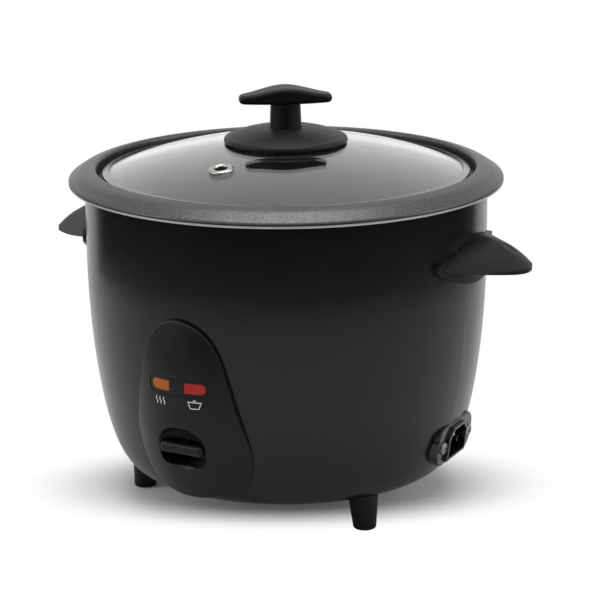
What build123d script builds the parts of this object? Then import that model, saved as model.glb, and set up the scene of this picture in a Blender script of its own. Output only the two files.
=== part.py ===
from build123d import *
import math
import os

# Electric rice cooker: steel shell, lift-out pot, glass lid and a one-lever cook switch.
# Millimetres. +Z is up, the origin is on the table under the middle, the control panel faces -Y.
# An angle round the body is counted from the control panel towards +X.

# Overall sizes
BODY_R = 118.15  # outer radius of the shell's straight wall
BODY_TOP = 188.4  # top edge of the shell above the table
FOOT_H = 19.7  # underside of the shell's floor above the table
SHEET = 0.8  # steel of the shell and the base plate

# Clearances
SEAT = 0.1  # between a curved seat and the piece fixed on it
SLIDE = 0.3  # round pieces that lift out or are pressed
RUN = 0.06  # radial, round a turning pin or a guided rod
SCREW_FIT = 0.1  # radial, round a screw
PAST = 1.0  # how far a cutting shape runs past the faces it opens

# Shell
CURVE_RISE = 126.9  # height of the curved lower part
FLOOR_TUCK = 29.3  # the floor's edge lies this far inside the wall
WALL_PULL = 44.1  # how long the curve holds on to the wall
FLOOR_PULL = 21.9  # how long the curve holds on to the floor
CURVE_SPREAD = 0.7  # share of an offset that the curve's lower pull takes up
HALVINGS = 40  # steps when a height is looked up on the curve
LIP_W = 18.8  # flat lip round the open underside

# Liner and upper ring
LINER_T = 0.5
LINER_GAP = 4.45  # between the shell's wall and the liner's bore
LINER_CONE_TOP = 92.0
LINER_LIP_Z = 57.0
LINER_CONE_IN = 19.4  # how far the cone draws in
LINER_LIP_MARGIN = 3.5  # liner's lip inside the spacers that stand on it
RING_T = 1.5
RING_OVERHANG = 1.45
RING_ROUND = 0.6

# Pot
POT_T = 1.2
POT_GAP = 7.4  # between the pot's wall and the liner's bore
POT_CORNER = 20.0
POT_RISER_GAP = 0.6  # between the pot's riser and the upper ring
LEDGE_RISE = 2.2  # lid ledge above the shell's top edge
CREST_RISE = 11.4  # middle of the flange's crest above the shell's top edge
FLANGE_W = 16.1  # from the riser to the flange's outer edge
POT_BENDS = (1.6, 1.2, 1.4, 14.0, 1.4)  # from the ledge out to the curled lip
FLANGE_SAG = (1.7, 6.6, 8.6)  # below the crest: half way out, at the edge, at the curled lip

# Lid
LID_GAP = 3.8  # between the lid's band and the pot's riser
BAND_T = 0.5
BAND_W = 3.6
GLASS_T = 4.0
DOME_R = 320.0
VENT_AT = 65.8  # steam eyelet from the middle of the lid
VENT_ANGLE = -3.5
VENT_R = 3.6
VENT_FLANGE_R = 7.3
VENT_WALL = 0.8
VENT_FLANGE_T = 1.3
VENT_ROUND = 0.58
VENT_SPREAD_R = 6.4
VENT_SPREAD_T = 0.8

# Knob
KNOB_BASE_R = 36.3
KNOB_BASE_H = 7.0
KNOB_SEAT_R = 24.0  # the disc lies on the glass inside this radius
KNOB_RIM_GAP = 1.0  # rim of the disc above the glass
KNOB_EDGE_H = 0.8  # upright edge of the base disc
KNOB_SHOULDER = (2.4, 2.9)  # shoulder inside the edge, and its height above the rim
KNOB_SHOULDER_BULGE = (0.6, 2.0)  # middle of the shoulder's round, likewise
KNOB_COLLAR_W = 2.2  # flat ring round the stem's socket
KNOB_SWELL = 1.1  # bulge of the disc's top above a straight slope
STEM_R = 9.3
STEM_TAPER = 0.6  # stem narrower at the bar than at the disc
STEM_H = 14.2
STEM_SOCKET = 3.0
BAR_HALF = 27.2
BAR_MID_H = 9.5
BAR_END_H = 4.8
BAR_SLOPE = (17.0, 6.5)  # where the top's slope is straightest, and its height there
BAR_MID_W = 19.0
BAR_END_W = 10.0
BAR_TURN = 36.0  # direction of the bar in plan, from +X
BAR_CORNER = 4.2  # rounding of the bar's ends in plan
BAR_ROUND = 2.2
KNOB_SCREW_R = 2.5
KNOB_SCREW_HEAD_R = 5.0
KNOB_SCREW_HEAD_H = 2.0
KNOB_SCREW_ROUND = 0.8
KNOB_SCREW_BITE = 9.0
KNOB_WASHER_R = 9.0
KNOB_WASHER_T = 1.5

# Handles
HANDLE_ANGLE = 96.5  # right handle; the left one is opposite
HANDLE_DROP = 31.4  # line through the pad's ends below the shell's top edge
PAD_HALF = 52.5
PAD_UP = 5.4
PAD_DOWN = 16.8
PAD_END_R = 4.0
PAD_T = 3.0
WING_REACH = 33.0  # tip of the wing beyond the shell
WING_TIP_R = 20.0
WING_ROOT_HALF = 49.0
WING_UNDER = 8.2  # underside of the wing below the pad's ends, at the shell
WING_DROOP = 1.5  # slope of the underside towards the tip
WING_RIM = 2.6  # thickness of the wing's edge
WING_PEAK = (3.2, 4.1)  # peak of the wing: beyond the shell, and above the pad's upper edge
WING_SWELL = (0.6, 0.62)  # share of the wing's height, and the share of its plan there
HANDLE_SCREW_DEG = 8.0  # each screw to the side of the handle's middle
HANDLE_SCREW_UP = 1.0
HANDLE_SCREW_BITE = 5.1
DIMPLE_SIZE = (13.0, 9.0, 4.0)
DIMPLE_DEPTH = 0.6

# Control panel
PANEL_TOP = 132.8
PANEL_BOTTOM = 26.3
PANEL_SIDE = ((19.5, 121.6), (28.1, 99.0), (33.2, 76.7), (36.8, 54.0), (33.4, 39.5), (19.0, 29.4))
# Points of the face: beyond the straight wall, and height
PANEL_STAND = ((-22.0, 10.0), (2.65, 58.0), (5.45, 95.0), (4.5, 116.0), (1.9, 136.0))
PANEL_CROWN = 69.0  # axis of the face's roundness before the body's axis
PANEL_ROUND = 1.5
PANEL_WALL = 2.2
PANEL_SCREWS = ((0.0, 112.0), (-13.0, 38.0), (13.0, 38.0))  # angle and height
PANEL_SCREW_BITE = 3.5
RECESS_MARGIN = (2.0, 2.2)  # shallow field round the lamps, beyond their windows
RECESS_DEPTH = 0.3
DISH_SIZE = (17.5, 7.0, 14.5)
DISH_OUT = 1.0  # middle of the dish before the face
DISH_Z = 56.5
DISH_ROUND = 1.0
LAMP_X = 11.2
LAMP_Z = 95.4
LAMP_W = 12.5
LAMP_H = 6.0
LAMP_BULGE = 2.6  # round outer side of a lamp window
POCKET_MARGIN = (3.0, 4.0)  # hollow behind the lamps, beyond their windows
POCKET_ROUND = 3.0
LAMP_OPENING = (8.0, 3.0)  # opening in the shell beyond the lamps' middles and their height
LAMP_OPENING_ROUND = 2.0
LENS_DEPTH = 4.2
LENS_SUNK = 0.45  # face of the lens below the panel's face
NEON_R = 1.4
NEON_L = 8.0

# Cook switch
KEY_W = 28.0
KEY_H = 6.5
KEY_DEPTH = 12.0
KEY_OUT = 2.85  # front of the key beyond the wall
KEY_SIDE_GAP = 1.2
KEY_GAP_UP = 1.4
KEY_GAP_DOWN = 1.0
SLOT_ROUND = 6.0
KEY_FRONT_T = 4.8  # key in front of the strip's end
KEY_Z = 58.0
KEY_ROUND = 2.6
KEY_TRAVEL_DEG = 6.0
STRIP_T = 1.5
STRIP_W = 14.0
STRIP_BEND = 2.0
CRANK_GAP = 4.0  # between the liner's lip edge and the strip
CRANK_Z = 43.0
STRIP_Z = 32.0
CRANK_FOOT = 12.0  # end of the strip's slope before the pivot
PIVOT_Y = -60.0
PIVOT_DROP = 4.0  # pivot below the strip
PIN_R = 2.0
PIN_WALL = 3.0  # ear below the pin, cheek above it
EAR_HALF = 6.0
FORK_TAIL = 8.0
FORK_GAP = 2.0  # closed end of the fork before the rod
COLLAR_PLAY = 1.9  # fork gap beyond the strip
CHEEK_GAP = 1.0
BLOCK_SIZE = (12.0, 14.0)
BLOCK_AT = (20.0, -25.0)
BLOCK_TOP = 44.0
LEAF_T = 0.6
LEAF_GAP = 2.4
LEAF_W = 6.0
LEAF_OVERLAP = 4.0  # leaf over the strip's edge
LEAF_HEEL = 3.0  # leaf sticking out behind the block, for its wire

# Thermostat
CAP_R = 17.0
CAP_T = 1.0
CAP_ROUND = 0.8
CAP_SKIRT = 14.0
CAP_PRESS = 1.5
FERRITE_R = 14.0
FERRITE_T = 6.0
MAGNET_R = 12.0
MAGNET_T = 4.0
MAGNET_GAP = 1.1  # magnet above the guide's floor
ROD_R = 3.0
COLLAR_R = 6.0
COLLAR_T = 1.5
ROD_TAIL = 2.5
GUIDE_T = 1.0
GUIDE_FLANGE_W = 8.0
SENSOR_WIRE = 1.2
MAGNET_WIRE = 0.8
MAGNET_SPRING_R = 4.6
SPRING_TURNS = 4

# Heating plate
PLATE_INSET = 0.9  # plate inside the flat of the pot's floor
PLATE_T = 8.0
PLATE_ROUND = 2.0
PLATE_TOP = 70.0
BOSS_W = 12.0
BOSS_H = 4.5
ELEMENT_IN = 16.0  # element's ring inside the spacers
ELEMENT_R = 3.25
ELEMENT_GAP_DEG = 60.0  # open part of the element's ring
ELEMENT_GAP_TURN = 15.0  # where the open part starts, from +X
TERMINAL_R = 1.2
TERMINAL_L = 10.0
SPACER_IN = 10.0  # spacers inside the plate's edge
SPACER_R = 4.5
PLATE_SCREW_BITE = 5.0
PLATE_SCREW_TURN = 40.0
BAND_HEATER_T = 1.0
BAND_HEATER_H = 24.0
BAND_HEATER_DROP = 28.4  # its upper edge below the shell's top edge
BAND_HEATER_SWEEP = 300.0
FUSE_R = 2.0
FUSE_L = 14.0
FUSE_ROUND = 0.5
FUSE_AT = (-34.0, 20.0)
CLIP_T = 0.6
CLIP_W = 6.0
CLIP_FOOT = 6.0

# Mains inlet
INLET_ANGLE = 94.0
INLET_Z = 44.0
INLET_TILT = 8.0
INLET_W = 24.0
INLET_H = 16.5
INLET_CHAMFER = 5.0
INLET_WALL = 1.6
INLET_OUT = 3.8
INLET_IN = 12.0
INLET_FLOOR = 2.5
INLET_FLANGE_T = 1.8
INLET_FLANGE_MARGIN = 2.2  # flange above and below the collar
INLET_LOBE = 6.6  # end of the flange beyond its screw
INLET_LOBE_R = 9.6
INLET_FLANGE_ROUND = 1.0
INLET_ROUND = 0.5
INLET_FLANGE_DEPTH = 9.0
INLET_SCREW_GAP = 1.6  # between the collar and the screw's head
BLADE = (2.0, 4.0)
BLADE_SPAN = 14.0
EARTH_UP = 4.0
EARTH_STEP = 6.0  # earth blade above the other two
BLADE_SUNK = 3.0
BLADE_TAIL = 6.0

# Feet
FOOT_TOP_R = 8.8
FOOT_FLOOR_R = 6.6
FOOT_TOP_IN = 3.1  # middle of the foot's top inside the floor's edge
FOOT_SPLAY = 1.9  # the foot's end further out than its top
FOOT_ROUND = 1.4
FOOT_ANGLES = {"foot_front_left": -60.0, "foot_front_right": 60.0, "foot_rear": 180.0}
FOOT_BORE_DEPTH = 10.0
FOOT_SCREW_END = 3.2  # foot screw above the shell's floor

# Base plate
BASE_OVERLAP = 5.5  # base plate under the shell's lip
BASE_SCREW_ANGLES = (0.0, 120.0, 240.0)
SLOT_RINGS = ((24.0, 10), (38.0, 14), (52.0, 20))  # radius and count of the vent slots
VENT_SLOT = (9.0, 3.0)

# Screws and wires
SCREW_R = 1.9
SCREW_HEAD_R = 3.6
SCREW_HEAD_H = 2.0
SCREW_HEAD_ROUND = 0.8
SCREW_BITE = 6.0
WIRE_R = 1.3
WIRE_LEAD = 9.0  # straight run at a wire's end
WIRE_BEND = 5.0

# Worked out from the sizes above
CURVE_TOP = FOOT_H + CURVE_RISE
FLOOR_R = BODY_R - FLOOR_TUCK
LIP_R = FLOOR_R - LIP_W
LINER_BORE = BODY_R - SHEET - LINER_GAP
LINER_FLOOR_R = LINER_BORE + LINER_T - LINER_CONE_IN
RING_Z = BODY_TOP + LINER_T
RING_BORE = LINER_BORE + SLIDE
RISER_R = RING_BORE - POT_RISER_GAP - POT_T / 2
POT_WALL_R = LINER_BORE - POT_GAP - POT_T / 2
PLATE_R = POT_WALL_R - POT_CORNER - PLATE_INSET
SPACER_AT = PLATE_R - SPACER_IN
ELEMENT_AT = SPACER_AT - ELEMENT_IN
LEDGE_TOP = BODY_TOP + LEDGE_RISE
POT_FLOOR = PLATE_TOP + SEAT
LID_R = RISER_R - POT_T / 2 - LID_GAP
BAND_Z = LEDGE_TOP + SLIDE
GLASS_R = LID_R - BAND_T - SEAT
DOME_Z = BAND_Z + BAND_T + SEAT - math.sqrt((DOME_R - GLASS_T) ** 2 - GLASS_R**2)
APEX = DOME_Z + DOME_R
KNOB_TOP = APEX + KNOB_BASE_H
BAR_UNDER = KNOB_TOP + STEM_H
HANDLE_Z = BODY_TOP - HANDLE_DROP
PANEL_FACE = [(BODY_R + out, height) for out, height in PANEL_STAND]
PANEL_FAR = max(distance for distance, _ in PANEL_FACE) + PAST
DISH_FACE = PANEL_FACE[1][0] + DISH_OUT
LENS_FACE = PANEL_FACE[2][0]
KEY_FACE = BODY_R + KEY_OUT
SLOT_W = KEY_W + 2 * KEY_SIDE_GAP
BAND_HEATER_TOP = BODY_TOP - BAND_HEATER_DROP
PLATE_UNDER = PLATE_TOP - PLATE_T
LINER_LIP_TOP = LINER_LIP_Z + LINER_T
CAP_TOP = PLATE_TOP
FERRITE_Z = CAP_TOP - CAP_T - FERRITE_T
PIVOT_Z = STRIP_Z - PIVOT_DROP
KEY_TRAVEL = math.radians(KEY_TRAVEL_DEG)
ROD_RISE = abs(PIVOT_Y) * math.tan(KEY_TRAVEL) + PIVOT_DROP * (1 / math.cos(KEY_TRAVEL) - 1)
MAGNET_Z = FERRITE_Z - CAP_PRESS - ROD_RISE - SLIDE - MAGNET_T
GUIDE_Z = MAGNET_Z - MAGNET_GAP - GUIDE_T
CAP_FOOT = CAP_TOP - CAP_SKIRT
INLET_SCREW_AT = INLET_W / 2 + INLET_WALL + INLET_SCREW_GAP + SCREW_HEAD_R
INLET_FLANGE = (
    2 * (INLET_SCREW_AT + INLET_LOBE),
    INLET_H + 2 * (INLET_WALL + INLET_FLANGE_MARGIN),
)
COLLAR_TOP_Z = STRIP_Z + (STRIP_T + COLLAR_PLAY) / 2
COLLAR_LOW_Z = STRIP_Z - (STRIP_T + COLLAR_PLAY) / 2 - COLLAR_T


def at(radius, height):
    """Point of a turned profile."""
    return (radius, 0, height)


def lathe(*edges):
    """Solid of revolution round the body's axis from a closed profile."""
    return revolve(make_face(Wire(list(edges))), Axis.Z)


def lathe_points(*points):
    """Solid of revolution from the corners of a profile."""
    return revolve(make_face(Polyline(*[at(r, z) for r, z in points], close=True)), Axis.Z)


def around(angle, radius, height=0.0):
    """Place on the body at an angle from the control panel, with local X pointing outwards."""
    return Rot(0, 0, angle - 90) * Pos(radius, 0, height)


def bar_between(low, high, radius):
    """Upright round bar on the local origin."""
    return Pos(0, 0, (low + high) / 2) * Cylinder(radius, high - low)


def radial_screw(length):
    """Screw along local X: its head's outer face is at the origin, its shank points to +X."""
    shank = Cylinder(SCREW_R, length, align=(Align.CENTER, Align.CENTER, Align.MIN))
    head = Cylinder(SCREW_HEAD_R, SCREW_HEAD_H, align=(Align.CENTER, Align.CENTER, Align.MAX))
    head = fillet(head.edges().group_by(Axis.Z)[0], SCREW_HEAD_ROUND)
    return Rot(0, 90, 0) * (shank + head)


def body_curve(grow):
    """Edges of the shell's outline from the floor to its top, moved outwards by grow."""
    low = FOOT_H - grow
    wall = BODY_R + grow
    curve = Bezier(
        at(FLOOR_R, low),
        at(FLOOR_R + FLOOR_PULL + CURVE_SPREAD * grow, low),
        at(wall, CURVE_TOP - WALL_PULL),
        at(wall, CURVE_TOP),
    )
    return curve, Line(at(wall, CURVE_TOP), at(wall, BODY_TOP))


def wall_radius(height):
    """Outer radius of the shell at a height in its curved part."""
    if height >= CURVE_TOP:
        return BODY_R
    low, high = 0.0, 1.0
    for _ in range(HALVINGS):
        t = (low + high) / 2
        rise = 3 * (1 - t) * t**2 * (CURVE_RISE - WALL_PULL) + t**3 * CURVE_RISE
        low, high = (t, high) if FOOT_H + rise < height else (low, t)
    near = (1 - t) ** 3 * FLOOR_R + 3 * (1 - t) ** 2 * t * (FLOOR_R + FLOOR_PULL)
    return near + (3 * (1 - t) * t**2 + t**3) * BODY_R


def filled_body(grow):
    """The shell's outer form as one solid block, for shaping what sits on it."""
    curve, wall = body_curve(grow)
    top = wall @ 1
    low = FOOT_H - grow
    return lathe(
        Line(at(0, low), curve @ 0),
        curve,
        wall,
        Line(top, at(0, BODY_TOP)),
        Line(at(0, BODY_TOP), at(0, low)),
    )


def inlet_plane():
    """Frame of the mains inlet: X along the body, Y up its wall, Z straight out."""
    turn = math.radians(INLET_ANGLE)
    tilt = math.radians(INLET_TILT)
    outward = Vector(math.sin(turn), -math.cos(turn), 0)
    along = Vector(math.cos(turn), math.sin(turn), 0)
    normal = outward * math.cos(tilt) - Vector(0, 0, 1) * math.sin(tilt)
    middle = outward * wall_radius(INLET_Z) + Vector(0, 0, INLET_Z)
    return Plane(origin=middle, x_dir=along, z_dir=normal)


def inlet_outline(grow):
    """Rectangle of the inlet with its two upper corners cut off."""
    w, h = INLET_W / 2 + grow, INLET_H / 2 + grow
    cut = INLET_CHAMFER + (2 - math.sqrt(2)) * grow
    corners = [(-w, -h), (w, -h), (w, h - cut), (w - cut, h), (cut - w, h), (-w, h - cut)]
    return make_face(Polyline(*corners, close=True))


def panel_egg():
    """Egg-shaped outline of the control panel."""
    left = [(-x, z) for x, z in reversed(PANEL_SIDE)]
    outline = Spline((0, PANEL_TOP), *PANEL_SIDE, (0, PANEL_BOTTOM), *left, periodic=True)
    return make_face(Wire([outline]))


def panel_front(inset):
    """Block that ends at the panel's crowned front face, or inset behind it."""
    points = [at(n - inset - PANEL_CROWN, z) for n, z in PANEL_FACE]
    low, high = PANEL_FACE[0][1], PANEL_FACE[-1][1]
    return Pos(0, -PANEL_CROWN, 0) * lathe(
        Spline(*points),
        Line(points[-1], at(0, high)),
        Line(at(0, high), at(0, low)),
        Line(at(0, low), points[0]),
    )


def front_prism(sketch, near, far):
    """Sketch in X and Z, drawn out towards the front between two distances from the axis."""
    return extrude(Plane.XZ.offset(near) * sketch, far - near)


def lens_outline(side, grow):
    """Lamp window: square towards the middle, round on the outer side."""
    w, h = LAMP_W / 2 + grow, LAMP_H / 2 + grow
    edges = [
        Line((-side * w, -h), (-side * w, h)),
        Line((-side * w, h), (side * (w - LAMP_BULGE), h)),
        ThreePointArc((side * (w - LAMP_BULGE), h), (side * w, 0), (side * (w - LAMP_BULGE), -h)),
        Line((side * (w - LAMP_BULGE), -h), (-side * w, -h)),
    ]
    return Pos(side * LAMP_X, LAMP_Z) * make_face(Wire(edges))


def key_slot():
    """Slot in the panel that leaves room for the key's travel."""
    drop = (KEY_FACE + PIVOT_Y) * math.sin(KEY_TRAVEL)
    high = KEY_Z + KEY_H / 2 + KEY_GAP_UP
    low = KEY_Z - KEY_H / 2 - drop - KEY_GAP_DOWN
    return Pos(0, (low + high) / 2) * RectangleRounded(SLOT_W, high - low, SLOT_ROUND)


def body_shell():
    """Drawn steel shell with its windows and screw holes."""
    outer, outer_wall = body_curve(0)
    inner, inner_wall = body_curve(-SHEET)
    shell = lathe(
        Line(at(LIP_R, FOOT_H), outer @ 0),
        outer,
        outer_wall,
        Line(outer_wall @ 1, inner_wall @ 1),
        inner_wall,
        inner,
        Line(inner @ 0, at(LIP_R, FOOT_H + SHEET)),
        Line(at(LIP_R, FOOT_H + SHEET), at(LIP_R, FOOT_H)),
    )
    wide, high = LAMP_OPENING
    lamps = Pos(0, LAMP_Z) * RectangleRounded(2 * LAMP_X + wide, LAMP_H + high, LAMP_OPENING_ROUND)
    for opening in (key_slot(), lamps):
        shell -= front_prism(opening, FLOOR_R, BODY_R)
    window = inlet_plane() * extrude(inlet_outline(INLET_WALL + SLIDE), INLET_IN, both=True)
    shell -= window
    for place in foot_places().values():
        shell -= place * floor_hole()
    for place in base_screw_places():
        shell -= place * floor_hole()
    for place, length, _ in handle_screw_places():
        shell -= place * Rot(0, 90, 0) * Cylinder(SCREW_R + SCREW_FIT, 2 * length)
    for place, length in panel_screw_places():
        shell -= place * Rot(0, 90, 0) * Cylinder(SCREW_R + SCREW_FIT, 2 * length)
    for side in (-1, 1):
        shell -= inlet_screw_hole(side)
    return shell


def upper_ring():
    """Pale ring that covers the shell's top edge."""
    outer = BODY_R + RING_OVERHANG
    high = RING_Z + RING_T
    ring = lathe_points((RING_BORE, RING_Z), (outer, RING_Z), (outer, high), (RING_BORE, high))
    edges = [e for e in ring.edges() if e.geom_type == GeomType.CIRCLE and e.radius > BODY_R]
    return fillet(edges, RING_ROUND)


def inner_liner():
    """Heat shield that hangs from the shell's top edge and carries the heating plate."""
    t = LINER_T
    lip = SPACER_AT - SPACER_R - LINER_LIP_MARGIN
    liner = lathe_points(
        (LINER_BORE, RING_Z),
        (BODY_R, RING_Z),
        (BODY_R, BODY_TOP),
        (LINER_BORE + t, BODY_TOP),
        (LINER_BORE + t, LINER_CONE_TOP),
        (LINER_FLOOR_R, LINER_LIP_Z),
        (lip, LINER_LIP_Z),
        (lip, LINER_LIP_TOP),
        (LINER_FLOOR_R - t, LINER_LIP_TOP),
        (LINER_BORE, LINER_CONE_TOP),
    )
    for place in plate_places():
        liner -= place * bar_between(LINER_LIP_Z - PAST, LINER_LIP_TOP + PAST, SCREW_R + SCREW_FIT)
    return liner


def base_plate():
    """Steel cover of the underside with rings of vent slots."""
    plate = bar_between(FOOT_H - SHEET, FOOT_H, LIP_R + BASE_OVERLAP)
    for radius, count in SLOT_RINGS:
        for i in range(count):
            place = Rot(0, 0, 360 * i / count) * Pos(radius, 0, FOOT_H)
            plate -= place * extrude(SlotOverall(*VENT_SLOT, rotation=90), SHEET * 2, both=True)
    for place in base_screw_places():
        plate -= place * floor_hole()
    return plate


def base_screw_places():
    """Where the base plate's screws stand."""
    return [around(angle, LIP_R + BASE_OVERLAP / 2) for angle in BASE_SCREW_ANGLES]


def floor_hole():
    """Screw hole through the shell's floor and the base plate."""
    return bar_between(FOOT_H - SHEET - PAST, FOOT_H + SHEET + PAST, SCREW_R + SCREW_FIT)


def base_screws():
    """Screws that hold the base plate to the shell's lip."""
    screw = Pos(0, 0, FOOT_H - SHEET) * Rot(0, -90, 0) * radial_screw(SCREW_BITE)
    return [place * screw for place in base_screw_places()]


def foot_places():
    """Where each foot's screw stands."""
    radius = FLOOR_R - FOOT_TOP_IN
    return {name: around(angle, radius) for name, angle in FOOT_ANGLES.items()}


def foot(place):
    """Tapered foot with an upright outer side, shaped to the shell's curve."""
    crown = FOOT_H + FOOT_TOP_R
    lean = FOOT_SPLAY * FOOT_TOP_R / FOOT_H
    top = Pos(-lean, 0, crown) * Circle(FOOT_TOP_R + (FOOT_TOP_R - FOOT_FLOOR_R) * FOOT_TOP_R / FOOT_H)
    end = Pos(FOOT_SPLAY, 0, 0) * Circle(FOOT_FLOOR_R)
    body = loft([end, top])
    body = fillet(body.edges().group_by(Axis.Z)[0], FOOT_ROUND)
    body -= bar_between(0, crown, SCREW_R + SCREW_FIT)
    body -= bar_between(-PAST, FOOT_BORE_DEPTH, SCREW_HEAD_R + SLIDE)
    return place * body - filled_body(SEAT)


def foot_screws():
    """Screws up through the feet into the shell's floor."""
    length = FOOT_H + SHEET - FOOT_BORE_DEPTH + FOOT_SCREW_END
    screw = Pos(0, 0, FOOT_BORE_DEPTH) * Rot(0, -90, 0) * radial_screw(length)
    return [place * screw for place in foot_places().values()]


def wing_plan(share=1.0):
    """Plan of the wing, or a share of it about its peak: straight sides that run into a round tip."""
    peak = BODY_R + WING_PEAK[0]
    tip_x = BODY_R + WING_REACH - WING_TIP_R
    root_x = math.sqrt(BODY_R**2 - WING_ROOT_HALF**2) + PAD_T
    reach = math.hypot(root_x - tip_x, WING_ROOT_HALF)
    turn = math.atan2(WING_ROOT_HALF, root_x - tip_x) - math.acos(WING_TIP_R / reach)
    touch = (tip_x + WING_TIP_R * math.cos(turn), WING_TIP_R * math.sin(turn))
    near = [touch, (root_x, WING_ROOT_HALF), (BODY_R - WING_REACH, WING_ROOT_HALF)]
    near = [(peak + share * (x - peak), share * y) for x, y in near]
    sides = near + [(x, -y) for x, y in reversed(near)]
    tip = ThreePointArc(sides[-1], (peak + share * (BODY_R + WING_REACH - peak), 0), sides[0])
    return make_face(Wire([*Polyline(*sides).edges(), tip]))


def wing():
    """Swelling wing from a thin rim up to the pad's upper edge, with a shallow thumb dimple."""
    out, above = WING_PEAK
    share, width = WING_SWELL
    rise = PAD_UP + above + WING_UNDER
    peak = BODY_R + out
    crest = WING_RIM + share * (rise - WING_RIM)
    sections = [Pos(0, 0, WING_RIM) * wing_plan(), Pos(0, 0, crest) * wing_plan(width)]
    hood = loft([*sections, Vertex(peak, 0, rise)])
    piece = extrude(wing_plan(), WING_RIM) + hood
    slope = math.degrees(math.atan2(rise - WING_RIM, WING_REACH - out))
    lift = DIMPLE_SIZE[2] - DIMPLE_DEPTH
    dimple = Rot(0, slope, 0) * Pos(0, 0, lift) * scale(Sphere(1), by=DIMPLE_SIZE)
    piece -= Pos(peak + width * (WING_REACH - out), 0, crest) * dimple
    arc = ThreePointArc((-PAD_HALF, WING_UNDER), (0, 0), (PAD_HALF, WING_UNDER))
    top = 2 * rise
    sides = Polyline((PAD_HALF, WING_UNDER), (PAD_HALF, top), (-PAD_HALF, top), (-PAD_HALF, WING_UNDER))
    piece &= extrude(Plane.YZ * make_face(Wire([arc, *sides.edges()])), 2 * BODY_R)
    droop = Pos(BODY_R, 0, HANDLE_Z - WING_UNDER) * Rot(0, WING_DROOP, 0) * Pos(-BODY_R, 0, 0)
    return droop * piece


def handle(side):
    """Moulded wing handle with an eye-shaped pad that hugs the shell."""
    upper = ThreePointArc((-PAD_HALF, 0), (0, PAD_UP), (PAD_HALF, 0))
    lower = ThreePointArc((PAD_HALF, 0), (0, -PAD_DOWN), (-PAD_HALF, 0))
    outline = make_face(Wire([upper, lower]))
    outline = fillet(outline.vertices(), PAD_END_R)
    pad = extrude(Plane.YZ * Pos(0, HANDLE_Z) * outline, BODY_R + 2 * PAD_T)
    pad &= filled_body(PAD_T)
    piece = Rot(0, 0, HANDLE_ANGLE - 90 + (0 if side > 0 else 180)) * (wing() + pad)
    piece -= filled_body(SEAT)
    for place, length, owner in handle_screw_places():
        if owner == side:
            piece -= place * Rot(0, 90, 0) * Cylinder(SCREW_R + SCREW_FIT, 2 * (length + SHEET))
    return piece


def handle_screw_places():
    """Place and length of each handle screw, with the side of its handle."""
    places = []
    height = HANDLE_Z + HANDLE_SCREW_UP
    seat = wall_radius(height - SCREW_HEAD_R) - SHEET - SEAT
    length = wall_radius(height) - seat + HANDLE_SCREW_BITE
    for side in (-1, 1):
        turn = HANDLE_ANGLE + (0 if side > 0 else 180)
        for offset in (-HANDLE_SCREW_DEG, HANDLE_SCREW_DEG):
            places.append((around(turn + offset, seat, height), length, side))
    return places


def handle_screws():
    """Screws from inside the shell into the handles."""
    return [place * radial_screw(length) for place, length, _ in handle_screw_places()]


def lamp_field(margin, rounding):
    """Rounded field that holds both lamp windows."""
    wide, high = margin
    field = RectangleRounded(2 * (LAMP_X + wide) + LAMP_W, LAMP_H + 2 * high, rounding)
    return front_prism(Pos(0, LAMP_Z) * field, FLOOR_R, PANEL_FAR)


def control_panel():
    """Raised egg-shaped moulding with the dished key recess and the lamp windows."""
    panel = front_prism(panel_egg(), PANEL_CROWN, PANEL_FAR) & panel_front(0)
    panel -= filled_body(SEAT)
    face = panel.faces().sort_by(Axis.Y)[0]
    panel = fillet(face.outer_wire().edges(), PANEL_ROUND)
    panel -= Pos(0, -DISH_FACE, DISH_Z) * scale(Sphere(1), by=DISH_SIZE)
    dish = panel.faces().filter_by(GeomType.BSPLINE).sort_by_distance((0, -DISH_FACE, DISH_Z))[0]
    panel = fillet(dish.outer_wire().edges(), DISH_ROUND)
    panel -= lamp_field(POCKET_MARGIN, POCKET_ROUND) & panel_front(PANEL_WALL)
    panel -= lamp_field(RECESS_MARGIN, POCKET_ROUND) - panel_front(RECESS_DEPTH)
    panel -= front_prism(key_slot(), FLOOR_R, PANEL_FAR)
    for side in (-1, 1):
        panel -= front_prism(lens_outline(side, SEAT), FLOOR_R, PANEL_FAR)
    for place, length in panel_screw_places():
        panel -= place * Rot(0, 90, 0) * Cylinder(SCREW_R + SCREW_FIT, 2 * (length + SLIDE))
    return panel


def panel_screw_seat(height):
    """Radius at which a screw's head clears the sloping wall inside the shell."""
    return wall_radius(height - SCREW_HEAD_R) - SHEET - SLIDE


def panel_screw_places():
    """Place and length of each panel screw: one high, two low."""
    places = []
    for angle, height in PANEL_SCREWS:
        seat = panel_screw_seat(height)
        places.append((around(angle, seat, height), wall_radius(height) - seat + PANEL_SCREW_BITE))
    return places


def panel_screws():
    """Screws from inside the shell into the control panel."""
    return [place * radial_screw(length) for place, length in panel_screw_places()]


def lens(side):
    """Coloured lamp window."""
    block = front_prism(lens_outline(side, 0), LENS_FACE - LENS_DEPTH, PANEL_FAR)
    return block & panel_front(LENS_SUNK)


def neon_lamps():
    """Small glass lamps behind the lenses."""
    back = LENS_FACE - LENS_DEPTH - SLIDE - NEON_R
    lamp = Rot(0, 90, 0) * Cylinder(NEON_R, NEON_L)
    return [Pos(side * LAMP_X, -back, LAMP_Z) * lamp for side in (-1, 1)]


def crank_y():
    """Where the lever's strip comes down between the shell and the liner's lip."""
    return -(LINER_FLOOR_R + CRANK_GAP)


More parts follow.
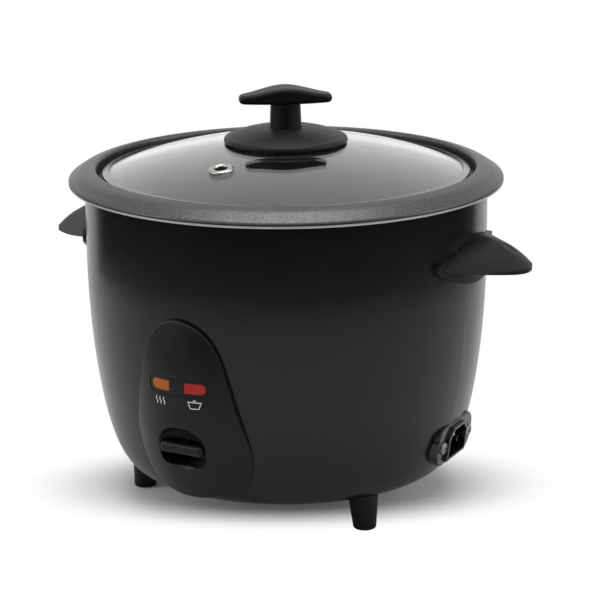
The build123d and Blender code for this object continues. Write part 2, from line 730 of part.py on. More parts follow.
def lever_strip():
    """Bent strip of the lever, seen from the side."""
    line = FilletPolyline(
        (0, KEY_FRONT_T - KEY_FACE, KEY_Z),
        (0, crank_y(), KEY_Z),
        (0, crank_y(), CRANK_Z),
        (0, PIVOT_Y - CRANK_FOOT, STRIP_Z),
        (0, FORK_TAIL, STRIP_Z),
        radius=STRIP_BEND,
    )
    outline = line.offset_2d(STRIP_T / 2, kind=Kind.ARC, side=Side.BOTH)
    return extrude(make_face(outline), STRIP_W / 2, dir=(1, 0, 0), both=True)


def lever_arm():
    """Cook lever: bent strip with two ears for its pin and a fork round the magnet rod."""
    arm = lever_strip()
    ear_low = PIVOT_Z - PIN_R - PIN_WALL
    ear = Pos(0, PIVOT_Y, (ear_low + STRIP_Z) / 2) * Box(STRIP_T, 2 * EAR_HALF, STRIP_Z - ear_low)
    for side in (-1, 1):
        arm += Pos(side * (STRIP_W - STRIP_T) / 2, 0, 0) * ear
    arm -= Pos(0, PIVOT_Y, PIVOT_Z) * Rot(0, 90, 0) * Cylinder(PIN_R + RUN, 2 * STRIP_W)
    start = ROD_R + FORK_GAP
    align = (Align.CENTER, Align.MIN, Align.CENTER)
    fork = Box(2 * (ROD_R + SLIDE), start + FORK_TAIL + PAST, 2 * STRIP_T, align=align)
    return arm - Pos(0, -start, STRIP_Z) * fork


def switch_key():
    """Cook key with a slot for the lever's strip."""
    key = Pos(0, -KEY_FACE + KEY_DEPTH / 2, KEY_Z) * Box(KEY_W, KEY_DEPTH, KEY_H)
    front = key.faces().sort_by(Axis.Y)[0]
    key = fillet(key.edges().filter_by(Axis.Y) + front.edges(), KEY_ROUND)
    return key - lever_strip()


def lever_bracket():
    """U-shaped bracket on the base plate that carries the lever's pin."""
    inner = STRIP_W / 2 + CHEEK_GAP
    high = PIVOT_Z + PIN_R + PIN_WALL
    block = Pos(0, PIVOT_Y, (FOOT_H + high) / 2)
    bracket = block * Box(2 * (inner + STRIP_T), 2 * EAR_HALF, high - FOOT_H)
    bracket -= Pos(0, 0, STRIP_T) * block * Box(2 * inner, 2 * (EAR_HALF + PAST), high - FOOT_H)
    return bracket - lever_pin()


def lever_pin():
    """Pivot pin of the cook lever."""
    length = STRIP_W + 2 * (CHEEK_GAP + 2 * STRIP_T)
    return Pos(0, PIVOT_Y, PIVOT_Z) * Rot(0, 90, 0) * Cylinder(PIN_R, length)


def leaf_height():
    """Underside of the lower contact leaf, just above the lever's highest place there."""
    reach = BLOCK_AT[1] + LEAF_W / 2 - PIVOT_Y
    return STRIP_Z + STRIP_T / 2 + reach * math.tan(KEY_TRAVEL) + SLIDE


def contact_leaves():
    """Two contact leaves that the lever brings together."""
    tail = BLOCK_AT[0] + BLOCK_SIZE[0] / 2 + LEAF_HEEL
    tip = STRIP_W / 2 - LEAF_OVERLAP
    leaves = []
    for level in range(2):
        low = leaf_height() + level * (LEAF_T + LEAF_GAP)
        leaf = Box(tail - tip, LEAF_W, LEAF_T, align=(Align.MIN, Align.CENTER, Align.MIN))
        leaves.append(Pos(tip, BLOCK_AT[1], low) * leaf)
    return leaves


def switch_block():
    """Insulating block that holds the contact leaves."""
    block = Pos(*BLOCK_AT, (FOOT_H + BLOCK_TOP) / 2) * Box(*BLOCK_SIZE, BLOCK_TOP - FOOT_H)
    for leaf in contact_leaves():
        block -= leaf
    return block


def heating_plate():
    """Cast plate under the pot, with a groove for the element and a hole for the sensor."""
    plate = bar_between(PLATE_UNDER, PLATE_TOP, PLATE_R)
    plate = fillet(plate.edges().group_by(Axis.Z)[-1], PLATE_ROUND)
    low = PLATE_UNDER - BOSS_H
    near, far = ELEMENT_AT - BOSS_W / 2, ELEMENT_AT + BOSS_W / 2
    plate += lathe_points((near, low), (far, low), (far, PLATE_UNDER), (near, PLATE_UNDER))
    plate -= bar_between(low, PLATE_TOP + PAST, CAP_R + SLIDE)
    plate -= Pos(0, 0, low) * Torus(ELEMENT_AT, ELEMENT_R + SEAT)
    for place in plate_places():
        plate -= place * bar_between(PLATE_UNDER - PAST, PLATE_UNDER + PLATE_SCREW_BITE, SCREW_R + SCREW_FIT)
    return plate


def heating_element():
    """Sheathed element in the plate's groove, open at one side for its terminals."""
    start = Pos(ELEMENT_AT, 0, PLATE_UNDER - BOSS_H) * Rot(90, 0, 0) * Circle(ELEMENT_R)
    ring = revolve(start, Axis.Z, 360 - ELEMENT_GAP_DEG)
    return Rot(0, 0, ELEMENT_GAP_TURN + ELEMENT_GAP_DEG) * ring


def terminal_frames():
    """Plane on each end of the element, pointing into the open part."""
    frames = []
    for turn, sign in ((ELEMENT_GAP_TURN, 1), (ELEMENT_GAP_TURN + ELEMENT_GAP_DEG, -1)):
        a = math.radians(turn)
        middle = (ELEMENT_AT * math.cos(a), ELEMENT_AT * math.sin(a), PLATE_UNDER - BOSS_H)
        frames.append(Plane(origin=middle, z_dir=(-sign * math.sin(a), sign * math.cos(a), 0)))
    return frames


def heater_terminals():
    """Two terminal pins of the element."""
    return [frame * bar_between(0, TERMINAL_L, TERMINAL_R) for frame in terminal_frames()]


def plate_places():
    """Where the three plate screws stand."""
    return [around(PLATE_SCREW_TURN + 120 * i, SPACER_AT) for i in range(3)]


def plate_spacers():
    """Spacers between the liner's lip and the heating plate."""
    spacer = bar_between(LINER_LIP_TOP, PLATE_UNDER, SPACER_R)
    spacer -= bar_between(LINER_LIP_TOP, PLATE_UNDER, SCREW_R + SCREW_FIT)
    return [place * spacer for place in plate_places()]


def plate_screws():
    """Screws through the liner's lip and the spacers into the plate."""
    length = PLATE_UNDER + PLATE_SCREW_BITE - LINER_LIP_Z - SLIDE
    screw = Pos(0, 0, LINER_LIP_Z) * Rot(0, -90, 0) * radial_screw(length)
    return [place * screw for place in plate_places()]


def sensor_cap():
    """Sensor cup that the pot's floor presses on."""
    cap = bar_between(CAP_FOOT, CAP_TOP, CAP_R)
    cap = fillet(cap.edges().group_by(Axis.Z)[-1], CAP_ROUND)
    return cap - bar_between(CAP_FOOT - PAST, CAP_TOP - CAP_T, CAP_R - CAP_T)


def sensor_guide():
    """Cup under the heating plate that guides the sensor cap and the magnet rod."""
    bore = CAP_R + SLIDE
    outer = bore + GUIDE_T
    guide = bar_between(GUIDE_Z, PLATE_UNDER, outer)
    guide += bar_between(PLATE_UNDER - GUIDE_T, PLATE_UNDER, outer + GUIDE_FLANGE_W)
    guide -= bar_between(GUIDE_Z + GUIDE_T, PLATE_UNDER, bore)
    return guide - bar_between(GUIDE_Z - PAST, GUIDE_Z + GUIDE_T + PAST, ROD_R + RUN)


def coil(low, high, radius, wire):
    """Coil spring standing between two heights."""
    height = high - low - wire - 2 * SEAT
    path = Helix(height / SPRING_TURNS, height, radius)
    section = Plane(origin=path @ 0, z_dir=path % 0) * Circle(wire / 2)
    return Pos(0, 0, low + wire / 2 + SEAT) * sweep(section, path=path)


def sensor_spring():
    """Spring that lifts the sensor cap."""
    return coil(GUIDE_Z + GUIDE_T, CAP_FOOT, CAP_R - SENSOR_WIRE, SENSOR_WIRE)


def magnet_spring():
    """Spring that pushes the magnet rod down."""
    return coil(COLLAR_TOP_Z + COLLAR_T, GUIDE_Z, MAGNET_SPRING_R, MAGNET_WIRE)


def soft_ferrite():
    """Temperature-sensitive ferrite disc inside the sensor cap."""
    return bar_between(FERRITE_Z, FERRITE_Z + FERRITE_T, FERRITE_R)


def magnet():
    """Magnet disc on the top of its rod."""
    return bar_between(MAGNET_Z, MAGNET_Z + MAGNET_T, MAGNET_R)


def magnet_rod():
    """Rod with two collars that the lever's fork moves."""
    rod = bar_between(COLLAR_LOW_Z - ROD_TAIL, MAGNET_Z, ROD_R)
    for low in (COLLAR_LOW_Z, COLLAR_TOP_Z):
        rod += bar_between(low, low + COLLAR_T, COLLAR_R)
    return rod


def keep_warm_band():
    """Flat heater wrapped round the liner."""
    bore = LINER_BORE + LINER_T + SEAT
    low, high = BAND_HEATER_TOP - BAND_HEATER_H, BAND_HEATER_TOP
    corners = [(bore, low), (bore + BAND_HEATER_T, low), (bore + BAND_HEATER_T, high), (bore, high)]
    face = make_face(Polyline(*[at(r, z) for r, z in corners], close=True))
    return Rot(0, 0, 90 - BAND_HEATER_SWEEP / 2) * revolve(face, Axis.Z, BAND_HEATER_SWEEP)


def thermal_fuse():
    """Safety fuse under the heating plate."""
    middle = Pos(*FUSE_AT, PLATE_UNDER - FUSE_R - SEAT)
    fuse = middle * Rot(90, 0, 0) * Cylinder(FUSE_R, FUSE_L)
    return fillet(fuse.edges(), FUSE_ROUND)


def fuse_clip():
    """Bent clip that holds the fuse to the plate."""
    inner = FUSE_R + SEAT
    outer = inner + CLIP_T
    hang = (Align.CENTER, Align.MAX)
    feet = Rectangle(2 * (outer + CLIP_FOOT), CLIP_T, align=hang)
    bow = Pos(0, -inner) * (Circle(outer) & Rectangle(2 * outer, outer, align=hang))
    sides = Rectangle(2 * outer, inner, align=hang)
    room = Pos(0, -inner) * Circle(inner) + Rectangle(2 * inner, inner, align=hang)
    profile = feet + bow + sides - room
    clip = extrude(Plane.XZ * profile, CLIP_W / 2, both=True)
    return Pos(*FUSE_AT, PLATE_UNDER) * clip


def blade_places():
    """Middle of each inlet blade, in the inlet's frame: line, neutral and earth."""
    low = EARTH_UP - EARTH_STEP
    return ((-BLADE_SPAN / 2, low), (BLADE_SPAN / 2, low), (0.0, EARTH_UP))


def inlet_blades(grow):
    """Inlet blades, thicker by grow for their slots."""
    low = -INLET_IN - BLADE_TAIL
    high = INLET_OUT - BLADE_SUNK
    blades = []
    for x, y in blade_places():
        blade = Box(BLADE[0] + grow, BLADE[1] + grow, high - low)
        blades.append(inlet_plane() * Pos(x, y, (low + high) / 2) * blade)
    return blades


def inlet_housing():
    """Mains inlet: collar with a deep socket on a flange with two round screw lobes."""
    flange = extrude(RectangleRounded(*INLET_FLANGE, INLET_LOBE_R), INLET_FLANGE_T)
    flange = fillet(flange.edges().group_by(Axis.Z)[-1], INLET_FLANGE_ROUND)
    flange += extrude(RectangleRounded(*INLET_FLANGE, INLET_LOBE_R), -INLET_FLANGE_DEPTH)
    flange = inlet_plane() * flange - filled_body(SEAT)
    collar = extrude(inlet_outline(INLET_WALL), INLET_OUT)
    collar = fillet(collar.edges().group_by(Axis.Z)[-1], INLET_ROUND)
    collar += extrude(inlet_outline(INLET_WALL), -INLET_IN)
    housing = flange + inlet_plane() * collar
    depth = INLET_OUT + INLET_IN - INLET_FLOOR
    housing -= inlet_plane() * Pos(0, 0, INLET_OUT) * extrude(inlet_outline(0), -depth)
    for blade in inlet_blades(SEAT):
        housing -= blade
    for side in (-1, 1):
        housing -= inlet_screw_hole(side)
    return housing


def inlet_screw_hole(side):
    """Screw hole through a lobe of the inlet's flange and the shell."""
    hole = Cylinder(SCREW_R + SCREW_FIT, 2 * (INLET_FLANGE_T + SCREW_BITE))
    return inlet_plane() * Pos(side * INLET_SCREW_AT, 0, 0) * hole


def inlet_screws():
    """Screws through the inlet's flange into the shell."""
    screw = Pos(0, 0, INLET_FLANGE_T) * Rot(0, 90, 0) * radial_screw(INLET_FLANGE_T + SCREW_BITE)
    return [inlet_plane() * Pos(side * INLET_SCREW_AT, 0, 0) * screw for side in (-1, 1)]


def wire(*points):
    """Insulated wire along straight runs joined by arcs."""
    path = FilletPolyline(*points, radius=WIRE_BEND)
    section = Plane(origin=path @ 0, z_dir=path % 0) * Circle(WIRE_R)
    return sweep(section, path=path)


def blade_end(index, back):
    """Point behind an inlet blade's tail."""
    x, y = blade_places()[index]
    return inlet_plane().from_local_coords((x, y, -INLET_IN - BLADE_TAIL - back))


def live_wire():
    """From the inlet to the upper contact leaf."""
    heel = BLOCK_AT[0] + BLOCK_SIZE[0] / 2 + LEAF_HEEL
    leaf = leaf_height() + LEAF_T + LEAF_GAP + LEAF_T / 2
    end = (heel, BLOCK_AT[1], leaf)
    before = (heel + WIRE_LEAD, BLOCK_AT[1], leaf)
    return wire(blade_end(0, 0), blade_end(0, WIRE_LEAD), (48, -18, 36), before, end)


def terminal_lead(index):
    """Point under a heater terminal where its wire is crimped, and a point straight below."""
    pin = terminal_frames()[index].from_local_coords((0, 0, TERMINAL_L - 2 * WIRE_R))
    crimp = pin - Vector(0, 0, TERMINAL_R + SEAT)
    return crimp, crimp - Vector(0, 0, WIRE_LEAD)


def neutral_wire():
    """From the inlet to the element's first terminal."""
    end, before = terminal_lead(0)
    return wire(blade_end(1, 0), blade_end(1, WIRE_LEAD), (56, 44, 42), before, end)


def heater_wire():
    """From the lower contact leaf to the element's second terminal."""
    heel = BLOCK_AT[0] + BLOCK_SIZE[0] / 2 + LEAF_HEEL
    leaf = leaf_height() + LEAF_T / 2
    end, before = terminal_lead(1)
    start = (heel, BLOCK_AT[1], leaf)
    straight = (heel + WIRE_LEAD, BLOCK_AT[1], leaf)
    return wire(start, straight, (42, 4, 30), (36, 34, 38), before, end)


def earth_wire():
    """From the inlet to the base plate."""
    before = (50, 22, FOOT_H + WIRE_LEAD)
    return wire(blade_end(2, 0), blade_end(2, WIRE_LEAD), (58, 22, 30), before, (50, 22, FOOT_H))


def inner_pot():
    """Pot pressed from one sheet, with the lid's ledge and a rolled flange."""
    ledge = LEDGE_TOP - POT_T / 2
    floor = POT_FLOOR + POT_T / 2
    crest = BODY_TOP + CREST_RISE - POT_T / 2
    edge = RISER_R + FLANGE_W - POT_T
    mid_sag, edge_sag, curl_sag = FLANGE_SAG
    line = FilletPolyline(
        at(-POT_CORNER, floor),
        at(POT_WALL_R, floor),
        at(POT_WALL_R, ledge),
        at(RISER_R, ledge),
        at(RISER_R, crest),
        at((RISER_R + edge) / 2, crest - mid_sag),
        at(edge, crest - edge_sag),
        at(edge, crest - curl_sag),
        radius=[POT_CORNER, *POT_BENDS],
    )
    section = make_face(line.offset_2d(POT_T / 2, kind=Kind.ARC, side=Side.BOTH))
    half = Plane.XZ * Rectangle(BODY_R * 2, BODY_TOP * 2, align=(Align.MIN, Align.MIN))
    return revolve(section & half, Axis.Z)


def dome_height(radius, inner=False):
    """Height of the glass at a radius."""
    ball = DOME_R - GLASS_T if inner else DOME_R
    return DOME_Z + math.sqrt(ball**2 - radius**2)


def dome_arc(radius_from, radius_to, lift, inner=False):
    """Arc of the dome's profile, raised by lift."""
    middle = (radius_from + radius_to) / 2
    points = [at(r, dome_height(r, inner) + lift) for r in (radius_from, middle, radius_to)]
    return ThreePointArc(*points)


def vent_place():
    """Frame of the steam eyelet on the glass, Z along the glass's normal."""
    tilt = math.degrees(math.asin(VENT_AT / DOME_R))
    return around(VENT_ANGLE, VENT_AT, dome_height(VENT_AT)) * Rot(0, tilt, 0)


def glass_lid():
    """Domed glass with holes for the knob's screw and the steam eyelet."""
    top = dome_arc(0, GLASS_R, 0)
    under = dome_arc(GLASS_R, 0, 0, inner=True)
    glass = lathe(top, Line(top @ 1, under @ 0), under, Line(under @ 1, top @ 0))
    glass -= bar_between(APEX - GLASS_T - PAST, APEX + PAST, KNOB_SCREW_R + SLIDE)
    return glass - vent_place() * Cylinder(VENT_R + VENT_WALL + SEAT, 4 * GLASS_T)


def lid_band():
    """Steel band folded round the glass's edge."""
    bore = LID_R - BAND_W
    wall = LID_R - BAND_T
    return lathe_points(
        (LID_R, BAND_Z),
        (LID_R, dome_height(LID_R) + SEAT + BAND_T),
        (bore, dome_height(bore) + SEAT + BAND_T),
        (bore, dome_height(bore) + SEAT),
        (wall, dome_height(wall) + SEAT),
        (wall, BAND_Z + BAND_T),
        (bore, BAND_Z + BAND_T),
        (bore, BAND_Z),
    )


def vent_eyelet():
    """Rolled eyelet in the glass that lets steam out."""
    wall = VENT_R + VENT_WALL
    low = -GLASS_T - SEAT
    eyelet = lathe_points(
        (VENT_R, low - VENT_SPREAD_T),
        (VENT_SPREAD_R, low - VENT_SPREAD_T),
        (VENT_SPREAD_R, low),
        (wall, low),
        (wall, SEAT),
        (VENT_FLANGE_R, SEAT),
        (VENT_FLANGE_R, SEAT + VENT_FLANGE_T),
        (VENT_R, SEAT + VENT_FLANGE_T),
    )
    eyelet = fillet(eyelet.edges().group_by(Axis.Z)[-1], VENT_ROUND)
    return vent_place() * eyelet


def knob_base():
    """Moulded disc between the glass and the knob."""
    hole = KNOB_SCREW_R + SCREW_FIT
    socket = STEM_R + SEAT
    under = dome_arc(hole, KNOB_SEAT_R, SEAT)
    rim = dome_height(KNOB_BASE_R) + KNOB_RIM_GAP
    rim_low = at(KNOB_BASE_R, rim + KNOB_EDGE_H)
    rounded = (KNOB_SHOULDER_BULGE, KNOB_SHOULDER)
    rim_mid, rim_top = [at(KNOB_BASE_R - inside, rim + up) for inside, up in rounded]
    collar = at(socket + KNOB_COLLAR_W, KNOB_TOP)
    middle = (rim_top[0] + collar[0]) / 2
    swell = (rim_top[2] + KNOB_TOP) / 2 + KNOB_SWELL
    return lathe(
        under,
        Line(under @ 1, at(KNOB_BASE_R, rim)),
        Line(at(KNOB_BASE_R, rim), rim_low),
        ThreePointArc(rim_low, rim_mid, rim_top),
        ThreePointArc(rim_top, at(middle, swell), collar),
        Line(collar, at(socket, KNOB_TOP)),
        Line(at(socket, KNOB_TOP), at(socket, KNOB_TOP - STEM_SOCKET)),
        Line(at(socket, KNOB_TOP - STEM_SOCKET), at(hole, KNOB_TOP - STEM_SOCKET)),
        Line(at(hole, KNOB_TOP - STEM_SOCKET), under @ 0),
    )


def knob_bar():
    """Finger bar with a flat underside, thick in the middle and blunt at its ends."""
    low = BAR_UNDER
    slope_at, slope_h = BAR_SLOPE
    top = Spline(
        (-BAR_HALF, 0, low + BAR_END_H),
        (-slope_at, 0, low + slope_h),
        (0, 0, low + BAR_MID_H),
        (slope_at, 0, low + slope_h),
        (BAR_HALF, 0, low + BAR_END_H),
    )
    under = Line((BAR_HALF, 0, low), (-BAR_HALF, 0, low))
    side = make_face(Wire([top, Line(top @ 1, under @ 0), under, Line(under @ 1, top @ 0)]))
    bar = extrude(Pos(0, -BAR_MID_W, 0) * side, 2 * BAR_MID_W, dir=(0, 1, 0))
    front = ThreePointArc((-BAR_HALF, -BAR_END_W / 2), (0, -BAR_MID_W / 2), (BAR_HALF, -BAR_END_W / 2))
    back = ThreePointArc((BAR_HALF, BAR_END_W / 2), (0, BAR_MID_W / 2), (-BAR_HALF, BAR_END_W / 2))
    plan = make_face(Wire([front, Line(front @ 1, back @ 0), back, Line(back @ 1, front @ 0)]))
    corners = extrude(Pos(0, 0, low - BAR_MID_H) * plan, 4 * BAR_MID_H)
    corners = fillet(corners.edges().filter_by(Axis.Z), BAR_CORNER)
    bar &= corners
    return fillet(bar.edges(), BAR_ROUND)


def lid_knob():
    """Knob: finger bar on a slightly tapered stem that stands in the base disc."""
    foot = KNOB_TOP - STEM_SOCKET
    head = BAR_UNDER + BAR_END_H / 2
    stem = lathe_points(
        (0, foot), (STEM_R, foot), (STEM_R, KNOB_TOP), (STEM_R - STEM_TAPER, head), (0, head)
    )
    knob = stem + knob_bar()
    knob -= bar_between(foot, foot + KNOB_SCREW_BITE + SLIDE, KNOB_SCREW_R + SCREW_FIT)
    return Rot(0, 0, BAR_TURN) * knob


def washer_top():
    """Height at which the flat washer meets the curved underside of the glass."""
    return dome_height(KNOB_WASHER_R, inner=True) - SEAT / 2


def knob_screw():
    """Screw from inside the lid up into the knob's stem."""
    seat = washer_top() - KNOB_WASHER_T
    screw = bar_between(seat, KNOB_TOP - STEM_SOCKET + KNOB_SCREW_BITE, KNOB_SCREW_R)
    head = bar_between(seat - KNOB_SCREW_HEAD_H, seat, KNOB_SCREW_HEAD_R)
    head = fillet(head.edges().group_by(Axis.Z)[0], KNOB_SCREW_ROUND)
    return screw + head


def knob_washer():
    """Soft washer between the screw's head and the glass."""
    high = washer_top()
    washer = bar_between(high - KNOB_WASHER_T, high, KNOB_WASHER_R)
    return washer - bar_between(high - KNOB_WASHER_T - PAST, high + PAST, KNOB_SCREW_R + SCREW_FIT)


def all_nodes():
    """Every piece by its name."""
    nodes = {
        "body_shell": body_shell(),
        "upper_ring": upper_ring(),
        "inner_liner": inner_liner(),
        "base_plate": base_plate(),
        "base_screws": base_screws(),
        "foot_screws": foot_screws(),
        "handle_left": handle(-1),
        "handle_right": handle(1),
        "handle_screws": handle_screws(),
        "control_panel": control_panel(),
        "panel_screws": panel_screws(),
        "amber_lens": lens(-1),
        "red_lens": lens(1),
        "neon_lamps": neon_lamps(),
        "switch_key": switch_key(),
        "lever_arm": lever_arm(),
        "lever_bracket": lever_bracket(),
        "lever_pin": lever_pin(),
        "switch_block": switch_block(),
        "contact_leaves": contact_leaves(),
        "heating_plate": heating_plate(),
        "heating_element": heating_element(),
        "heater_terminals": heater_terminals(),
        "plate_spacers": plate_spacers(),
        "plate_screws": plate_screws(),
        "sensor_guide": sensor_guide(),
        "sensor_cap": sensor_cap(),
        "sensor_spring": sensor_spring(),
        "soft_ferrite": soft_ferrite(),
        "magnet": magnet(),
        "magnet_rod": magnet_rod(),
        "magnet_spring": magnet_spring(),
        "keep_warm_band": keep_warm_band(),
        "thermal_fuse": thermal_fuse(),
        "fuse_clip": fuse_clip(),
        "inlet_housing": inlet_housing(),
        "inlet_pins": inlet_blades(0),
        "inlet_screws": inlet_screws(),
        "live_wire": live_wire(),
        "neutral_wire": neutral_wire(),
        "heater_wire": heater_wire(),
        "earth_wire": earth_wire(),
        "inner_pot": inner_pot(),
        "glass_lid": glass_lid(),
        "lid_band": lid_band(),
        "vent_eyelet": vent_eyelet(),
        "knob_base": knob_base(),
        "lid_knob": lid_knob(),
        "knob_screw": knob_screw(),
        "knob_washer": knob_washer(),
    }
    for name, place in foot_places().items():
        nodes[name] = foot(place)
    return nodes


os.makedirs("parts", exist_ok=True)
for node, piece in all_nodes().items():
    solids = piece if isinstance(piece, list) else [piece]
    export_step(Compound(children=[s for part in solids for s in part.solids()]), f"parts/{node}.step")
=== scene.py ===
"""Studio scene of an electric rice cooker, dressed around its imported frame.

Everything is in metres and in the frame's own axes: +Z is up and the control panel faces -Y.
"""

from __future__ import annotations

import logging
import math
from dataclasses import dataclass, field
from enum import Enum

import bmesh
import bpy
from bmesh.types import BMesh, BMVert
from bpy.types import ID, Material, Mesh, Node, NodeSocket as Socket, Object
from mathutils import Matrix, Vector
from mathutils.bvhtree import BVHTree


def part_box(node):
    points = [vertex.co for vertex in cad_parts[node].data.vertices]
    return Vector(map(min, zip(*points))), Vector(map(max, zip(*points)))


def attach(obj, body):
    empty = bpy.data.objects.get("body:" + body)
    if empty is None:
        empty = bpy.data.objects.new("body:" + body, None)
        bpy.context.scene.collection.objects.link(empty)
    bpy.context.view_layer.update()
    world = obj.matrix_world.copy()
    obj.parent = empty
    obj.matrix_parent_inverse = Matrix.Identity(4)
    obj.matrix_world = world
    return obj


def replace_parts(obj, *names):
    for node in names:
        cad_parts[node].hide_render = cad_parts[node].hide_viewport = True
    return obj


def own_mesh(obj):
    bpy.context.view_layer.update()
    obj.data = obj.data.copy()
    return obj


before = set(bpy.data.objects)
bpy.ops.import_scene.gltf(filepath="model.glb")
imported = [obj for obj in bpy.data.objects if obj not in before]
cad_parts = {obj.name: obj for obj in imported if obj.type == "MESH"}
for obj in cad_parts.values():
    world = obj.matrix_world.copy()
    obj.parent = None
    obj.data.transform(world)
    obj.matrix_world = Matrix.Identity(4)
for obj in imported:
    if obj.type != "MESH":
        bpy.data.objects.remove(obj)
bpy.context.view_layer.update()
MM = 0.001
MICRON = 0.000001
POLE_R = 0.001 * MM  # a turned point nearer to the axis is a pole
SHARP_ANGLE = math.radians(35.0)
RING_WAVER = 0.4
MOTTLE_DETAIL = 3.0
ROUGH_FINER = 2.0  # patches of roughness to patches of colour
BRUSH_DETAIL = 3.0
BRUSH_STRETCH = (0.02, 1.0, 1.0)
PIT_DETAIL = 4.0
PIT_FINER = 2.3  # fine pits to coarse ones
WHITE = (1.0, 1.0, 1.0, 1.0)
FLAT = (1.0, 1.0, 0.0)  # keeps a vector's level part

Color = tuple[float, float, float]
Strokes = list[list[tuple[float, float]]]
Inputs = dict[str | int, object]
log = logging.getLogger("rice_cooker")


class Grain(Enum):
    """Fine relief of a finish."""

    NONE = "none"
    PEEL = "soft waves of sprayed enamel"
    SPARK = "fine pits of a spark-eroded mould"
    BRUSHED = "long scratches along one axis"
    TURNED = "rings round the upright axis"
    FLAKE = "metal flakes in a coating"


class NodeTree:
    """A tree of nodes and the links between them."""

    def __init__(self, tree: bpy.types.NodeTree) -> None:
        """Takes the tree to add to."""
        self.tree = tree

    def add(self, kind: str, inputs: Inputs | None = None, **settings: object) -> Node:
        """Adds a node.

        Args:
            kind: Blender's name of the node type.
            inputs: what its inputs are linked or set to, by name or number.
            settings: properties of the node, by name.

        Returns:
            The new node.
        """
        node = self.tree.nodes.new(kind)
        for name, value in settings.items():
            setattr(node, name, value)
        for key, value in (inputs or {}).items():
            if isinstance(value, Socket):
                self.link(value, node.inputs[key])
            else:
                node.inputs[key].default_value = value
        return node

    def link(self, source: Socket, target: Socket) -> None:
        """Joins an output to an input."""
        self.tree.links.new(source, target)

    def sum(self, operation: str, one: Socket, other: Socket | float) -> Socket:
        """Arithmetic on two values."""
        return self.add("ShaderNodeMath", {0: one, 1: other}, operation=operation).outputs[0]

    def reach(self, where: Socket) -> Socket:
        """Distance of coordinates from the upright axis."""
        level = self.add("ShaderNodeVectorMath", {0: where, 1: FLAT}, operation="MULTIPLY")
        return self.add("ShaderNodeVectorMath", {0: level.outputs[0]}, operation="LENGTH").outputs["Value"]


class Shade(NodeTree):
    """Node tree of one material, built around a principled shader."""

    def __init__(self, name: str) -> None:
        """Starts an empty material.

        Args:
            name: the material's name.
        """
        self.material = bpy.data.materials.new(name)
        self.material.use_nodes = True
        super().__init__(self.material.node_tree)
        self.shader = self.tree.nodes["Principled BSDF"]
        self.where = self.add("ShaderNodeTexCoord").outputs["Object"]

    def stretched(self, scale: Color) -> Socket:
        """Object coordinates stretched along the axes."""
        return self.add("ShaderNodeMapping", {"Scale": scale, "Vector": self.where}).outputs["Vector"]

    def noise(self, scale: float, detail: float = 2.0, where: Socket | None = None) -> Socket:
        """Noise of so many waves in a metre and so many finer layers."""
        inputs = {"Scale": scale, "Detail": detail, "Vector": where or self.where}
        return self.add("ShaderNodeTexNoise", inputs).outputs["Fac"]

    def cells(self, scale: float, output: str = "Distance") -> Socket:
        """One output of a pattern of so many cells in a metre."""
        return self.add("ShaderNodeTexVoronoi", {"Scale": scale, "Vector": self.where}).outputs[output]

    def rings(self, scale: float) -> Socket:
        """Height of fine rings round the upright axis."""
        inputs = {"Scale": scale, "Distortion": RING_WAVER, "Vector": self.where}
        return self.add("ShaderNodeTexWave", inputs, wave_type="RINGS", rings_direction="Z").outputs["Fac"]

    def span(self, value: Socket, low: float, high: float) -> Socket:
        """Spreads a value of 0 to 1 over a range."""
        inputs = {"Value": value, "To Min": low, "To Max": high}
        return self.add("ShaderNodeMapRange", inputs).outputs["Result"]

    def ramp(self, value: Socket, start: float, end: float) -> Socket:
        """Smooth step from 0 to 1 between two values."""
        inputs = {"Value": value, "From Min": start, "From Max": end}
        return self.add("ShaderNodeMapRange", inputs, interpolation_type="SMOOTHSTEP").outputs["Result"]

    def height(self) -> Socket:
        """Height of a point."""
        return self.add("ShaderNodeSeparateXYZ", {0: self.where}).outputs["Z"]

    def tint(self, value: Socket, under: Color | Socket, top: Color) -> Socket:
        """Blends two colours.

        Args:
            value: share of the second one.
            under: the first colour, plain or worked out.
            top: the second colour.

        Returns:
            The blended colour.
        """
        node = self.add("ShaderNodeMix", {"Factor": value}, data_type="RGBA")
        first, second = [s for s in node.inputs if s.type == "RGBA"]
        if isinstance(under, Socket):
            self.link(under, first)
        else:
            first.default_value = (*under, 1.0)
        second.default_value = (*top, 1.0)
        return next(s for s in node.outputs if s.type == "RGBA")

    def bump(self, height: Socket, depth: float) -> None:
        """Adds relief to the shader.

        Args:
            height: relief from 0 to 1.
            depth: its depth in metres.
        """
        node = self.add("ShaderNodeBump", {"Distance": depth, "Height": height})
        normal = self.shader.inputs["Normal"]
        if normal.is_linked:
            self.link(normal.links[0].from_socket, node.inputs["Normal"])
        self.link(node.outputs["Normal"], normal)


